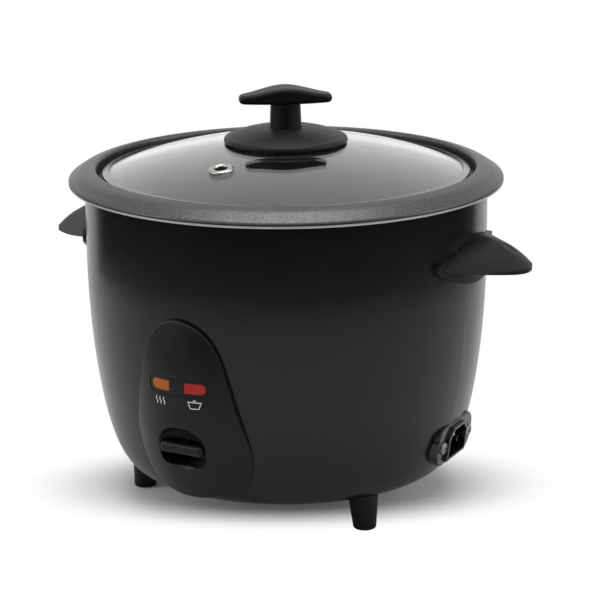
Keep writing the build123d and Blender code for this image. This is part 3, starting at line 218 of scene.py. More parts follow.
@dataclass(frozen=True)
class Finish:
    """An opaque finish: colour, gloss and fine relief, whose depth is in microns."""

    name: str
    color: Color
    rough: tuple[float, float]
    metallic: float = 0.0
    specular: float = 0.5
    vary: float = 0.15
    mottle: float = 40.0
    grain: Grain = Grain.NONE
    pitch: float = 900.0
    depth: float = 10.0

    def relief(self, shade: Shade) -> None:
        """Adds the grain to the shader.

        Args:
            shade: the material's tree.
        """
        depth = self.depth * MICRON
        if self.grain in (Grain.PEEL, Grain.FLAKE):
            shade.bump(shade.noise(self.pitch), depth)
        elif self.grain is Grain.SPARK:
            shade.bump(shade.cells(self.pitch), depth)
            shade.bump(shade.noise(self.pitch * PIT_FINER, PIT_DETAIL), depth)
        elif self.grain is Grain.BRUSHED:
            shade.bump(shade.noise(self.pitch, BRUSH_DETAIL, shade.stretched(BRUSH_STRETCH)), depth)
        elif self.grain is Grain.TURNED:
            shade.bump(shade.rings(self.pitch), depth)

    def colour(self, shade: Shade) -> Socket:
        """The finish's colour with its variation.

        Args:
            shade: the material's tree.

        Returns:
            The colour.
        """
        dark = tuple(c * (1.0 - self.vary) for c in self.color)
        light = tuple(min(1.0, c * (1.0 + self.vary)) for c in self.color)
        if self.grain is Grain.FLAKE:
            return shade.tint(shade.cells(self.pitch, "Color"), dark, light)
        return shade.tint(shade.noise(self.mottle, MOTTLE_DETAIL), dark, light)

    def material(self) -> Material:
        """Builds the material.

        Returns:
            The new material.
        """
        shade = Shade(self.name)
        shader = shade.shader
        shader.inputs["Metallic"].default_value = self.metallic
        shader.inputs["Specular IOR Level"].default_value = self.specular
        shade.link(self.colour(shade), shader.inputs["Base Color"])
        patches = shade.noise(self.mottle * ROUGH_FINER)
        shade.link(shade.span(patches, *self.rough), shader.inputs["Roughness"])
        self.relief(shade)
        self.extras(shade)
        return shade.material

    def extras(self, shade: Shade) -> None:
        """Nothing more on an opaque finish."""


@dataclass(frozen=True)
class ClearFinish(Finish):
    """A finish that light passes through."""

    passes: float = 1.0
    ior: float = 1.5

    def extras(self, shade: Shade) -> None:
        """Lets light through."""
        shade.shader.inputs["Transmission Weight"].default_value = self.passes
        shade.shader.inputs["IOR"].default_value = self.ior


@dataclass(frozen=True)
class RolledCoat(Finish):
    """Flake coat painted lighter along a flange's rolled lip, a painted highlight."""

    # lighter colour painted along the rolled lip: a painted highlight, not a colour of the coat
    lip: Color = (0.5, 0.5, 0.5)
    lip_highlight_r: tuple[float, float] = (0.1255, 0.1262)
    lip_highlight_z: tuple[float, float] = (0.1915, 0.1913)

    def colour(self, shade: Shade) -> Socket:
        """The coat's colour with the painted highlight along its lip.

        Args:
            shade: the material's tree.

        Returns:
            The colour.
        """
        # mask of the painted highlight: the outer edge of the flange, low on its lip
        outer = shade.ramp(shade.reach(shade.where), *self.lip_highlight_r)
        low = shade.span(shade.ramp(shade.height(), self.lip_highlight_z[1], self.lip_highlight_z[0]), 1.0, 0.0)
        return shade.tint(shade.sum("MULTIPLY", outer, low), super().colour(shade), self.lip)


ENAMEL = Finish("black_enamel", (0.0045, 0.0045, 0.0048), (0.2, 0.26), specular=0.29,
                grain=Grain.PEEL, pitch=420.0, depth=4.0)
PLASTIC = Finish("moulded_black", (0.0045, 0.0045, 0.0047), (0.42, 0.5), specular=0.18,
                 grain=Grain.SPARK, pitch=2600.0, depth=22.0)
PANEL_PLASTIC = Finish("panel_black", (0.0045, 0.0045, 0.0047), (0.34, 0.4), specular=0.22,
                       grain=Grain.SPARK, pitch=2600.0, depth=14.0)
GLOSS_PLASTIC = Finish("gloss_black", (0.006, 0.006, 0.006), (0.16, 0.24), specular=0.5,
                       grain=Grain.PEEL, pitch=300.0, depth=4.0)
# its rolled lip is painted lighter, a painted highlight
POT_COAT = RolledCoat("flake_coat_lip_highlight", (0.064, 0.065, 0.066), (0.36, 0.44), metallic=0.75, vary=0.34,
                      grain=Grain.FLAKE, pitch=1300.0, depth=4.0)
SATIN_ALUMINIUM = Finish("satin_aluminium", (0.62, 0.63, 0.64), (0.24, 0.36), metallic=1.0, vary=0.06,
                         grain=Grain.BRUSHED, pitch=2600.0, depth=4.0)
PLAIN_SHEET = Finish("plain_sheet", (0.5, 0.5, 0.5), (0.32, 0.46), metallic=1.0, vary=0.1,
                     grain=Grain.BRUSHED, pitch=1800.0, depth=5.0)
CAST_PLATE = Finish("turned_plate", (0.6, 0.6, 0.61), (0.26, 0.38), metallic=1.0, vary=0.08,
                    grain=Grain.TURNED, pitch=320.0, depth=10.0)
ZINC = Finish("zinc_plate", (0.46, 0.47, 0.49), (0.3, 0.44), metallic=1.0, vary=0.16, mottle=120.0,
              grain=Grain.PEEL, pitch=700.0, depth=6.0)
# polished steel darkened far below bare steel: painted shade of the gap between the lid and the pot's
# flange
POLISHED_STEEL_PAINTED_SHADE = Finish("polished_steel_painted_shade", (0.26, 0.26, 0.26), (0.16, 0.24), metallic=1.0, vary=0.04,
                        grain=Grain.BRUSHED, pitch=2600.0, depth=2.0)
CHROME = Finish("eyelet_chrome", (0.36, 0.355, 0.34), (0.16, 0.28), metallic=1.0, vary=0.08,
                grain=Grain.PEEL, pitch=600.0, depth=6.0)
OXIDE = Finish("oxidised_sheath", (0.16, 0.14, 0.13), (0.45, 0.6), metallic=0.8, vary=0.25,
               grain=Grain.PEEL, pitch=900.0, depth=10.0)
DULL_STEEL = Finish("dull_steel", (0.24, 0.245, 0.255), (0.32, 0.46), metallic=1.0, vary=0.12,
                    grain=Grain.PEEL, pitch=700.0, depth=6.0)
BRONZE = Finish("spring_bronze", (0.6, 0.4, 0.2), (0.25, 0.38), metallic=1.0, vary=0.12,
                grain=Grain.BRUSHED, pitch=1800.0, depth=4.0)
NICKEL = Finish("nickel", (0.68, 0.65, 0.58), (0.14, 0.24), metallic=1.0, vary=0.06,
                grain=Grain.BRUSHED, pitch=2200.0, depth=3.0)
FERRITE = Finish("sintered_ferrite", (0.035, 0.035, 0.037), (0.5, 0.66), vary=0.25,
                 grain=Grain.SPARK, pitch=1800.0, depth=20.0)
STEATITE = Finish("pale_insulator", (0.6, 0.57, 0.5), (0.5, 0.62), vary=0.08,
                  grain=Grain.SPARK, pitch=1500.0, depth=20.0)
MICA = Finish("mica_strip", (0.32, 0.25, 0.15), (0.34, 0.5), vary=0.3, mottle=90.0,
              grain=Grain.PEEL, pitch=500.0, depth=10.0)
SILICONE = Finish("grey_silicone", (0.42, 0.42, 0.41), (0.5, 0.62), vary=0.06,
                  grain=Grain.SPARK, pitch=1600.0, depth=10.0)
BROWN_WIRE = Finish("brown_insulation", (0.16, 0.06, 0.025), (0.36, 0.5))
BLUE_WIRE = Finish("blue_insulation", (0.03, 0.09, 0.32), (0.36, 0.5))
GREEN_WIRE = Finish("green_insulation", (0.1, 0.3, 0.05), (0.36, 0.5))
WHITE_WIRE = Finish("white_sleeve", (0.72, 0.72, 0.69), (0.5, 0.64), grain=Grain.SPARK, pitch=1800.0)
INK = Finish("white_print", (0.72, 0.72, 0.72), (0.45, 0.6), vary=0.05)
LID_GLASS = ClearFinish("lid_glass", (0.93, 0.95, 0.945), (0.0, 0.015), vary=0.01)
LAMP_GLASS = ClearFinish("lamp_glass", (0.9, 0.86, 0.8), (0.02, 0.06), vary=0.02)
AMBER = ClearFinish("amber_lens", (0.52, 0.13, 0.006), (0.16, 0.28), specular=0.12, vary=0.2, mottle=260.0,
                    grain=Grain.PEEL, pitch=700.0, depth=20.0, passes=0.35)
RED = ClearFinish("red_lens", (0.5, 0.022, 0.018), (0.16, 0.28), specular=0.12, vary=0.2, mottle=260.0,
                  grain=Grain.PEEL, pitch=700.0, depth=20.0, passes=0.35)


Coats = tuple[tuple[Finish, str], ...]


class Paintbox:
    """Makes each finish's material once."""

    def __init__(self) -> None:
        """Starts with no material made."""
        self.made: dict[str, Material] = {}

    def get(self, finish: Finish) -> Material:
        """Material of a finish.

        Args:
            finish: the finish wanted.

        Returns:
            Its material, made on first use.
        """
        if finish.name not in self.made:
            self.made[finish.name] = finish.material()
        return self.made[finish.name]

    def dress(self, coats: Coats) -> None:
        """Gives frame nodes their finishes.

        Args:
            coats: each finish with the names of its nodes.
        """
        for finish, nodes in coats:
            for node in nodes.split():
                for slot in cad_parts[node].material_slots:
                    slot.material = self.get(finish)
                log.info("%s takes %s", node, finish.name)


PAINT = Paintbox()


def placed(name: str, data: ID) -> Object:
    """Puts an object into the scene.

    Args:
        name: its name.
        data: its mesh, lamp or camera.

    Returns:
        The new object.
    """
    thing = bpy.data.objects.new(name, data)
    bpy.context.scene.collection.objects.link(thing)
    return thing


def new_piece(name: str, mesh: Mesh, finish: Finish, body: str) -> Object:
    """Puts a finished mesh into the scene.

    Args:
        name: the piece's name.
        mesh: its mesh, in place.
        finish: its finish.
        body: the frame body that it moves with.

    Returns:
        The new object.
    """
    piece = placed(name, mesh)
    mesh.materials.clear()
    mesh.materials.append(PAINT.get(finish))
    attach(piece, body)
    log.info("%s made, rides on %s", name, body)
    return piece


def filleted(corners: list[Vector], radii: tuple[float, ...], steps: int) -> list[Vector]:
    """Rounds the corners of a line.

    Args:
        corners: the line's points, as radius and height.
        radii: radius at each inner corner.
        steps: runs in each arc.

    Returns:
        The rounded line's points.
    """
    line = [corners[0]]
    for before, corner, after, radius in zip(corners, corners[1:], corners[2:], radii):
        one, two = (before - corner).normalized(), (after - corner).normalized()
        half = one.angle(two) / 2.0
        middle = corner + (one + two).normalized() * (radius / math.sin(half))
        reach = radius / math.tan(half)
        ends = [corner + side * reach - middle for side in (one, two)]
        start, end = [math.atan2(p.y, p.x) for p in ends]
        sweep = math.remainder(end - start, 2.0 * math.pi)
        turns = [start + sweep * i / steps for i in range(steps + 1)]
        line += [middle + Vector((math.cos(t), math.sin(t))) * radius for t in turns]
    return line + [corners[-1]]


def beside(line: list[Vector], gap: float) -> list[Vector]:
    """Line at a distance beside another.

    Args:
        line: the first line.
        gap: distance to its left.

    Returns:
        The points of the second line.
    """
    moved = []
    for i, point in enumerate(line):
        along = (line[min(i + 1, len(line) - 1)] - line[max(i - 1, 0)]).normalized()
        moved.append(point + Vector((-along.y, along.x)) * gap)
    return moved


def around(radius: float, turn: float, height: float) -> Vector:
    """Point round the upright axis."""
    return Vector((radius * math.cos(turn), radius * math.sin(turn), height))


def closed(name: str, sheet: BMesh) -> Mesh:
    """Keeps finished faces as a mesh.

    Args:
        name: the mesh's name.
        sheet: the faces, which are turned outwards and freed.

    Returns:
        The mesh.
    """
    bmesh.ops.recalc_face_normals(sheet, faces=sheet.faces)
    mesh = bpy.data.meshes.new(name)
    sheet.to_mesh(mesh)
    sheet.free()
    return mesh


def turned(name: str, loop: list[Vector], place: Matrix, steps: int) -> Mesh:
    """Turns a closed outline round an axis.

    Args:
        name: the mesh's name.
        loop: the outline's points, as radius and height; a point on the axis becomes a pole.
        place: frame whose Z is the axis.
        steps: runs in a full turn.

    Returns:
        The turned mesh.
    """
    sheet = bmesh.new()
    turns = [2.0 * math.pi * i / steps for i in range(steps)]
    rings = []
    for spot in loop:
        if spot.x < POLE_R:
            rings.append([sheet.verts.new(place @ Vector((0.0, 0.0, spot.y)))] * steps)
        else:
            rings.append([sheet.verts.new(place @ around(spot.x, t, spot.y)) for t in turns])
    for one, two in zip(rings, rings[1:] + rings[:1]):
        for i in range(steps):
            corners = dict.fromkeys((one[i], one[(i + 1) % steps], two[(i + 1) % steps], two[i]))
            if len(corners) > 2:
                sheet.faces.new(corners)
    for face in sheet.faces:
        face.smooth = True
    mesh = closed(name, sheet)
    mesh.set_sharp_from_angle(angle=SHARP_ANGLE)
    return mesh


@dataclass(frozen=True)
class ScrewRow:
    """Seats of one node's screws, the way their heads face and their shanks' length."""

    node: str
    seats: tuple[Vector, ...]
    out: Vector
    shank: float


class ShapeTree(NodeTree):
    """Geometry Nodes tree with named inputs, whose result is baked to a plain mesh."""

    def __init__(self, name: str, sizes: dict[str, float]) -> None:
        """Starts a tree with its inputs and its output.

        Args:
            name: the tree's name.
            sizes: its sizes by name.
        """
        super().__init__(bpy.data.node_groups.new(name, "GeometryNodeTree"))
        face = self.tree.interface
        for given, kind in (("Seats", "Geometry"), ("Direction", "Vector"), ("Finish", "Material")):
            face.new_socket(given, in_out="INPUT", socket_type="NodeSocket" + kind)
        for size, value in sizes.items():
            face.new_socket(size, in_out="INPUT", socket_type="NodeSocketFloat").default_value = value
        face.new_socket("Shape", in_out="OUTPUT", socket_type="NodeSocketGeometry")
        self.given = self.add("NodeGroupInput").outputs

    def upright(self, height: Socket) -> Socket:
        """Vector of a height."""
        return self.add("ShaderNodeCombineXYZ", {"Z": height}).outputs[0]

    def raised(self, geometry: Socket, height: Socket) -> Socket:
        """Geometry moved up by a height."""
        inputs = {"Geometry": geometry, "Translation": self.upright(height)}
        return self.add("GeometryNodeTransform", inputs).outputs[0]

    def close(self, shape: Socket) -> None:
        """Ends the tree with real, finished geometry.

        Args:
            shape: what the tree has made.
        """
        real = self.add("GeometryNodeRealizeInstances", {0: shape}).outputs[0]
        coat = self.add("GeometryNodeSetMaterial", {"Geometry": real, "Material": self.given["Finish"]})
        self.add("NodeGroupOutput", {"Shape": coat.outputs[0]})

    def bake(self, name: str, seats: tuple[Vector, ...], wanted: dict[str, object]) -> Mesh:
        """Runs the tree.

        Args:
            name: the new mesh's name.
            seats: points that the tree starts from.
            wanted: values of its inputs, by name.

        Returns:
            The plain mesh.
        """
        dots = bpy.data.meshes.new(name + "_seats")
        dots.from_pydata(seats, [], [])
        holder = placed(name + "_seats", dots)
        modifier = holder.modifiers.new("shape", "NODES")
        modifier.node_group = self.tree
        for socket in self.tree.interface.items_tree:
            if socket.in_out == "INPUT" and socket.name in wanted:
                modifier[socket.identifier] = wanted[socket.name]
        evaluated = holder.evaluated_get(bpy.context.evaluated_depsgraph_get())
        raw = bpy.data.meshes.new_from_object(evaluated)
        bpy.data.objects.remove(holder)
        sheet = bmesh.new()
        sheet.from_mesh(raw)
        bpy.data.meshes.remove(raw)
        return closed(name, sheet)


@dataclass(frozen=True)
class Spring:
    """A coil spring: its node and joint, its wire and travel, and whether its foot stands."""

    node: str
    joint: str
    wire: float
    travel: float
    stands: bool


class CoilTree(ShapeTree):
    """Coil springs, each a wire along a spiral."""

    turns: float = 4.0
    steps: int = 48
    wire_steps: int = 12
    slack: float = 0.1 * MM

    def __init__(self) -> None:
        """Builds the tree."""
        super().__init__("coil_springs", {"Radius": 0.0, "Wire": 0.0, "Height": 0.0, "Foot": 0.0})
        radius, wire = self.given["Radius"], self.given["Wire"]
        half = self.sum("MULTIPLY", wire, 0.5)
        spiral = self.add("GeometryNodeCurveSpiral", {
            "Resolution": self.steps, "Rotations": self.turns, "Start Radius": radius, "End Radius": radius,
            "Height": self.sum("SUBTRACT", self.given["Height"], wire)})
        section = self.add("GeometryNodeCurvePrimitiveCircle", {
            "Resolution": self.wire_steps, "Radius": half})
        tube = self.add("GeometryNodeCurveToMesh", {
            "Curve": spiral.outputs["Curve"], "Profile Curve": section.outputs["Curve"], "Fill Caps": True})
        self.close(self.raised(tube.outputs["Mesh"], self.sum("ADD", self.given["Foot"], half)))

    def make(self, spring: Spring, finish: Finish) -> None:
        """Makes a spring in place of its frame node.

        Args:
            spring: which spring.
            finish: its finish.
        """
        low, high = (Vector(corner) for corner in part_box(spring.node))
        foot, height = low.z + self.slack, high.z - low.z - 2.0 * self.slack
        radius = (high.x - low.x - spring.wire) / 2.0
        name = spring.node + "_coiled"
        mesh = self.bake(name, (), {"Radius": radius, "Wire": spring.wire, "Height": height,
                                    "Foot": foot, "Finish": PAINT.get(finish)})
        piece = new_piece(name, mesh, finish, "body")
        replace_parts(piece, spring.node)
        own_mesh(piece)


class ScrewTree(ShapeTree):
    """Cross-recess screws, one on each seat."""

    sizes: dict[str, float] = {
        "Head Radius": 3.6 * MM, "Head Height": 2.0 * MM, "Head Dome": 0.8 * MM,
        "Shank Radius": 1.9 * MM, "Shank Length": 6.0 * MM,
        "Recess Width": 0.9 * MM, "Recess Length": 4.0 * MM, "Recess Depth": 1.1 * MM}
    turns: int = 40
    rings: int = 6
    dome: float = 4.0
    bite: float = 0.4 * MM

    def __init__(self) -> None:
        """Builds the tree."""
        super().__init__("cross_recess_screws", self.sizes)
        self.close(self.row(self.screw()))

    def bar(self, radius: Socket, depth: Socket) -> Node:
        """Round bar with ringed ends."""
        inputs = {"Vertices": self.turns, "Fill Segments": self.rings, "Radius": radius, "Depth": depth}
        return self.add("GeometryNodeMeshCylinder", inputs, fill_type="TRIANGLE_FAN")

    def head(self) -> Socket:
        """Pan head, domed towards its rim, with its seat at height 0.

        Returns:
            The head's mesh.
        """
        bar = self.bar(self.given["Head Radius"], self.given["Head Height"])
        reach = self.reach(self.add("GeometryNodeInputPosition").outputs[0])
        share = self.sum("DIVIDE", reach, self.given["Head Radius"])
        fall = self.sum("MULTIPLY", self.sum("POWER", share, self.dome), self.given["Head Dome"])
        move = self.add("GeometryNodeSetPosition", {
            "Geometry": bar.outputs["Mesh"], "Selection": bar.outputs["Top"],
            "Offset": self.upright(self.sum("MULTIPLY", fall, -1.0))})
        return self.raised(move.outputs[0], self.sum("MULTIPLY", self.given["Head Height"], 0.5))

    def screw(self) -> Socket:
        """One screw: head and shank in one piece, less the cross recess.

        Returns:
            The screw's mesh.
        """
        length = self.sum("ADD", self.given["Shank Length"], self.bite)
        shank = self.bar(self.given["Shank Radius"], length)
        drop = self.sum("SUBTRACT", self.sum("MULTIPLY", length, -0.5), -self.bite)
        whole = self.add("GeometryNodeMeshBoolean", operation="UNION")
        for piece in (self.head(), self.raised(shank.outputs["Mesh"], drop)):
            self.link(piece, whole.inputs["Mesh 2"])
        cut = self.add("GeometryNodeMeshBoolean", {"Mesh 1": whole.outputs["Mesh"]}, operation="DIFFERENCE")
        depth = self.sum("MULTIPLY", self.given["Recess Depth"], 2.0)
        long, wide = self.given["Recess Length"], self.given["Recess Width"]
        for along, across in ((long, wide), (wide, long)):
            size = self.add("ShaderNodeCombineXYZ", {"X": along, "Y": across, "Z": depth})
            arm = self.add("GeometryNodeMeshCube", {"Size": size.outputs[0]})
            self.link(self.raised(arm.outputs["Mesh"], self.given["Head Height"]), cut.inputs["Mesh 2"])
        return cut.outputs["Mesh"]

    def row(self, screw: Socket) -> Socket:
        """The screw on every seat.

        Args:
            screw: one screw's mesh.

        Returns:
            The row of screws.
        """
        turn = self.add("FunctionNodeAlignRotationToVector", {"Vector": self.given["Direction"]}, axis="Z")
        spread = self.add("GeometryNodeInstanceOnPoints", {
            "Points": self.given["Seats"], "Instance": screw, "Rotation": turn.outputs[0]})
        return spread.outputs[0]

    def make(self, row: ScrewRow, finish: Finish) -> None:
        """Makes a row of screws in place of its frame node.

        Args:
            row: where the screws are.
            finish: their finish.
        """
        name = row.node + "_recessed"
        mesh = self.bake(name, row.seats, {"Shank Length": row.shank, "Direction": tuple(row.out),
                                           "Finish": PAINT.get(finish)})
        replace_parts(new_piece(name, mesh, finish, "body"), row.node)


SCREWS, COILS = ScrewTree(), CoilTree()


def ring_seats(radius: float, angles: tuple[float, ...], height: float) -> tuple[Vector, ...]:
    """Seats on a circle, at degrees from the front towards the right."""
    turns = [math.radians(angle) for angle in angles]
    return tuple(Vector((radius * math.sin(t), -radius * math.cos(t), height)) for t in turns)


@dataclass
class Shell:
    """Enamelled shell with its ring, liner, base plate and feet."""

    down: Vector = field(default_factory=lambda: Vector((0.0, 0.0, -1.0)))
    base_screw_r: float = 72.8 * MM
    base_screw_angles: tuple[float, ...] = (0.0, 120.0, 240.0)
    base_seat: float = 18.9 * MM
    base_shank: float = 6.0 * MM
    foot_screw_r: float = 85.75 * MM
    foot_screw_angles: tuple[float, ...] = (-60.0, 60.0, 180.0)
    foot_seat: float = 10.0 * MM
    foot_shank: float = 13.7 * MM

    finishes: Coats = (
        (ENAMEL, "body_shell"), (SATIN_ALUMINIUM, "upper_ring"), (PLAIN_SHEET, "inner_liner"),
        (ZINC, "base_plate handle_screws"),
        (PLASTIC, "foot_front_left foot_front_right foot_rear handle_left handle_right"))

    def dress(self) -> None:
        """Finishes the shell's nodes and screws down its base and feet."""
        PAINT.dress(self.finishes)
        base = ring_seats(self.base_screw_r, self.base_screw_angles, self.base_seat)
        feet = ring_seats(self.foot_screw_r, self.foot_screw_angles, self.foot_seat)
        SCREWS.make(ScrewRow("base_screws", base, self.down, self.base_shank), ZINC)
        SCREWS.make(ScrewRow("foot_screws", feet, self.down, self.foot_shank), ZINC)


@dataclass
class Panel:
    """Front moulding with its lamps, key and two printed signs."""

    sign_z: float = 86.2 * MM
    sign_x: float = 11.2 * MM
    stroke: float = 0.5 * MM
    ink_over: float = 0.05 * MM
    ink_under: float = 0.03 * MM
    ray_from: float = -0.3
    wave_gap: float = 2.7 * MM
    wave_half: float = 2.1 * MM
    wave_swing: float = 0.55 * MM
    wave_steps: int = 14
    bowl_half: float = 3.6 * MM
    bowl_foot: float = 2.5 * MM
    bowl_rim: float = 0.9 * MM
    bowl_low: float = -2.1 * MM
    cover_half: float = 4.2 * MM
    cover_z: float = 1.6 * MM
    grip_half: float = 0.9 * MM
    grip_z: float = 2.6 * MM

    finishes: Coats = (
        (PANEL_PLASTIC, "control_panel switch_key"), (ZINC, "panel_screws"), (AMBER, "amber_lens"),
        (RED, "red_lens"), (LAMP_GLASS, "neon_lamps"))

    def dress(self) -> None:
        """Finishes the panel's nodes and prints its signs."""
        PAINT.dress(self.finishes)
        self.print_sign("warm_sign", -self.sign_x, self.steam())
        self.print_sign("cook_sign", self.sign_x, self.bowl())

    def steam(self) -> Strokes:
        """Strokes of rising warmth.

        Returns:
            Three wavy upright lines.
        """
        lines = []
        for middle in (-self.wave_gap, 0.0, self.wave_gap):
            shares = [i / self.wave_steps for i in range(self.wave_steps + 1)]
            lines.append([(middle + self.wave_swing * math.sin(2.0 * math.pi * s),
                           self.wave_half * (2.0 * s - 1.0)) for s in shares])
        return lines

    def bowl(self) -> Strokes:
        """Strokes of a covered bowl.

        Returns:
            The bowl's outline, its cover and the cover's grip.
        """
        side = [(-self.bowl_half, self.bowl_rim), (-self.bowl_foot, self.bowl_low)]
        foot = [(x * self.bowl_foot, self.bowl_low) for x in (-0.5, 0.0, 0.5)]
        outline = side + foot + [(-x, z) for x, z in reversed(side)]
        cover = [(x * self.cover_half, self.cover_z) for x in (-1.0, -0.5, 0.0, 0.5, 1.0)]
        grip = [(x * self.grip_half, self.grip_z) for x in (-1.0, 0.0, 1.0)]
        return [outline, cover, grip]

    def print_sign(self, name: str, middle: float, lines: Strokes) -> None:
        """Lays a sign's strokes on the panel's face.

        Args:
            name: the sign's name.
            middle: how far the sign is from the panel's middle.
            lines: its strokes, as points across and up.
        """
        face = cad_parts["control_panel"].data
        surface = BVHTree.FromPolygons([v.co for v in face.vertices], [p.vertices for p in face.polygons])
        sheet = bmesh.new()
        for line in lines:
            points = [Vector((x + middle, 0.0, z + self.sign_z)) for x, z in line]
            rows = [self.stroke_row(sheet, surface, points, i) for i in range(len(points))]
            for one, two in zip(rows, rows[1:]):
                for corners in zip(one, two, two[1:] + two[:1], one[1:] + one[:1]):
                    sheet.faces.new(corners)
            sheet.faces.new(rows[0])
            sheet.faces.new(reversed(rows[-1]))
        new_piece(name, closed(name, sheet), INK, "body")

    def stroke_row(self, sheet: BMesh, surface: BVHTree, points: list[Vector], i: int) -> list[BMVert]:
        """One cross-section of a stroke on the panel's face.

        Args:
            sheet: the sign's mesh.
            surface: the panel's faces.
            points: the stroke's line.
            i: which of its points.

        Returns:
            The section's four corners in order.
        """
        along = (points[min(i + 1, len(points) - 1)] - points[max(i - 1, 0)]).normalized()
        side = Vector((-along.z, 0.0, along.x)) * (self.stroke / 2.0)
        low, high = -self.ink_under, self.ink_over
        row = []
        for across, lift in ((-1, low), (1, low), (1, high), (-1, high)):
            start = points[i] + side * across + Vector((0.0, self.ray_from, 0.0))
            spot, normal, _, _ = surface.ray_cast(start, Vector((0.0, 1.0, 0.0)))
            row.append(sheet.verts.new(spot + normal * lift))
        return row


@dataclass
class Works:
    """Heating plate, thermostat, cook switch and wiring inside the shell."""

    springs: tuple[Spring, ...] = (
        Spring("sensor_spring", "sensor_press", 1.2 * MM, 1.5 * MM, True),
        Spring("magnet_spring", "magnet_slide", 0.8 * MM, 6.4 * MM, False))
    finishes: Coats = (
        (ZINC, "lever_arm lever_bracket lever_pin plate_spacers plate_screws fuse_clip"),
        (STEATITE, "switch_block"), (BRONZE, "contact_leaves magnet_rod"), (CAST_PLATE, "heating_plate"),
        (OXIDE, "heating_element thermal_fuse"), (NICKEL, "heater_terminals"),
        (PLAIN_SHEET, "sensor_guide"), (SATIN_ALUMINIUM, "sensor_cap"),
        (FERRITE, "soft_ferrite magnet"), (MICA, "keep_warm_band"), (BROWN_WIRE, "live_wire"),
        (BLUE_WIRE, "neutral_wire"), (WHITE_WIRE, "heater_wire"), (GREEN_WIRE, "earth_wire"))

    def dress(self) -> None:
        """Finishes the inner nodes and winds the two springs."""
        PAINT.dress(self.finishes)
        for spring in self.springs:
            COILS.make(spring, ZINC)


@dataclass
class Inlet:
    """Mains inlet with its blades and screws."""

    middle: Vector = field(default_factory=lambda: Vector((106.288, 7.432, 44.0)) * MM)
    along: Vector = field(default_factory=lambda: Vector((-0.069756, 0.997564, 0.0)))
    out: Vector = field(default_factory=lambda: Vector((0.987856, 0.069078, -0.139173)))
    screw_at: float = 18.8 * MM
    seat: float = 1.8 * MM
    shank: float = 7.8 * MM
    finishes: Coats = ((GLOSS_PLASTIC, "inlet_housing"), (NICKEL, "inlet_pins"))

    def dress(self) -> None:
        """Finishes the inlet's nodes and screws down its flange."""
        PAINT.dress(self.finishes)
        foot = self.middle + self.out * self.seat
        seats = tuple(foot + self.along * (self.screw_at * side) for side in (-1.0, 1.0))
        SCREWS.make(ScrewRow("inlet_screws", seats, self.out, self.shank), DULL_STEEL)


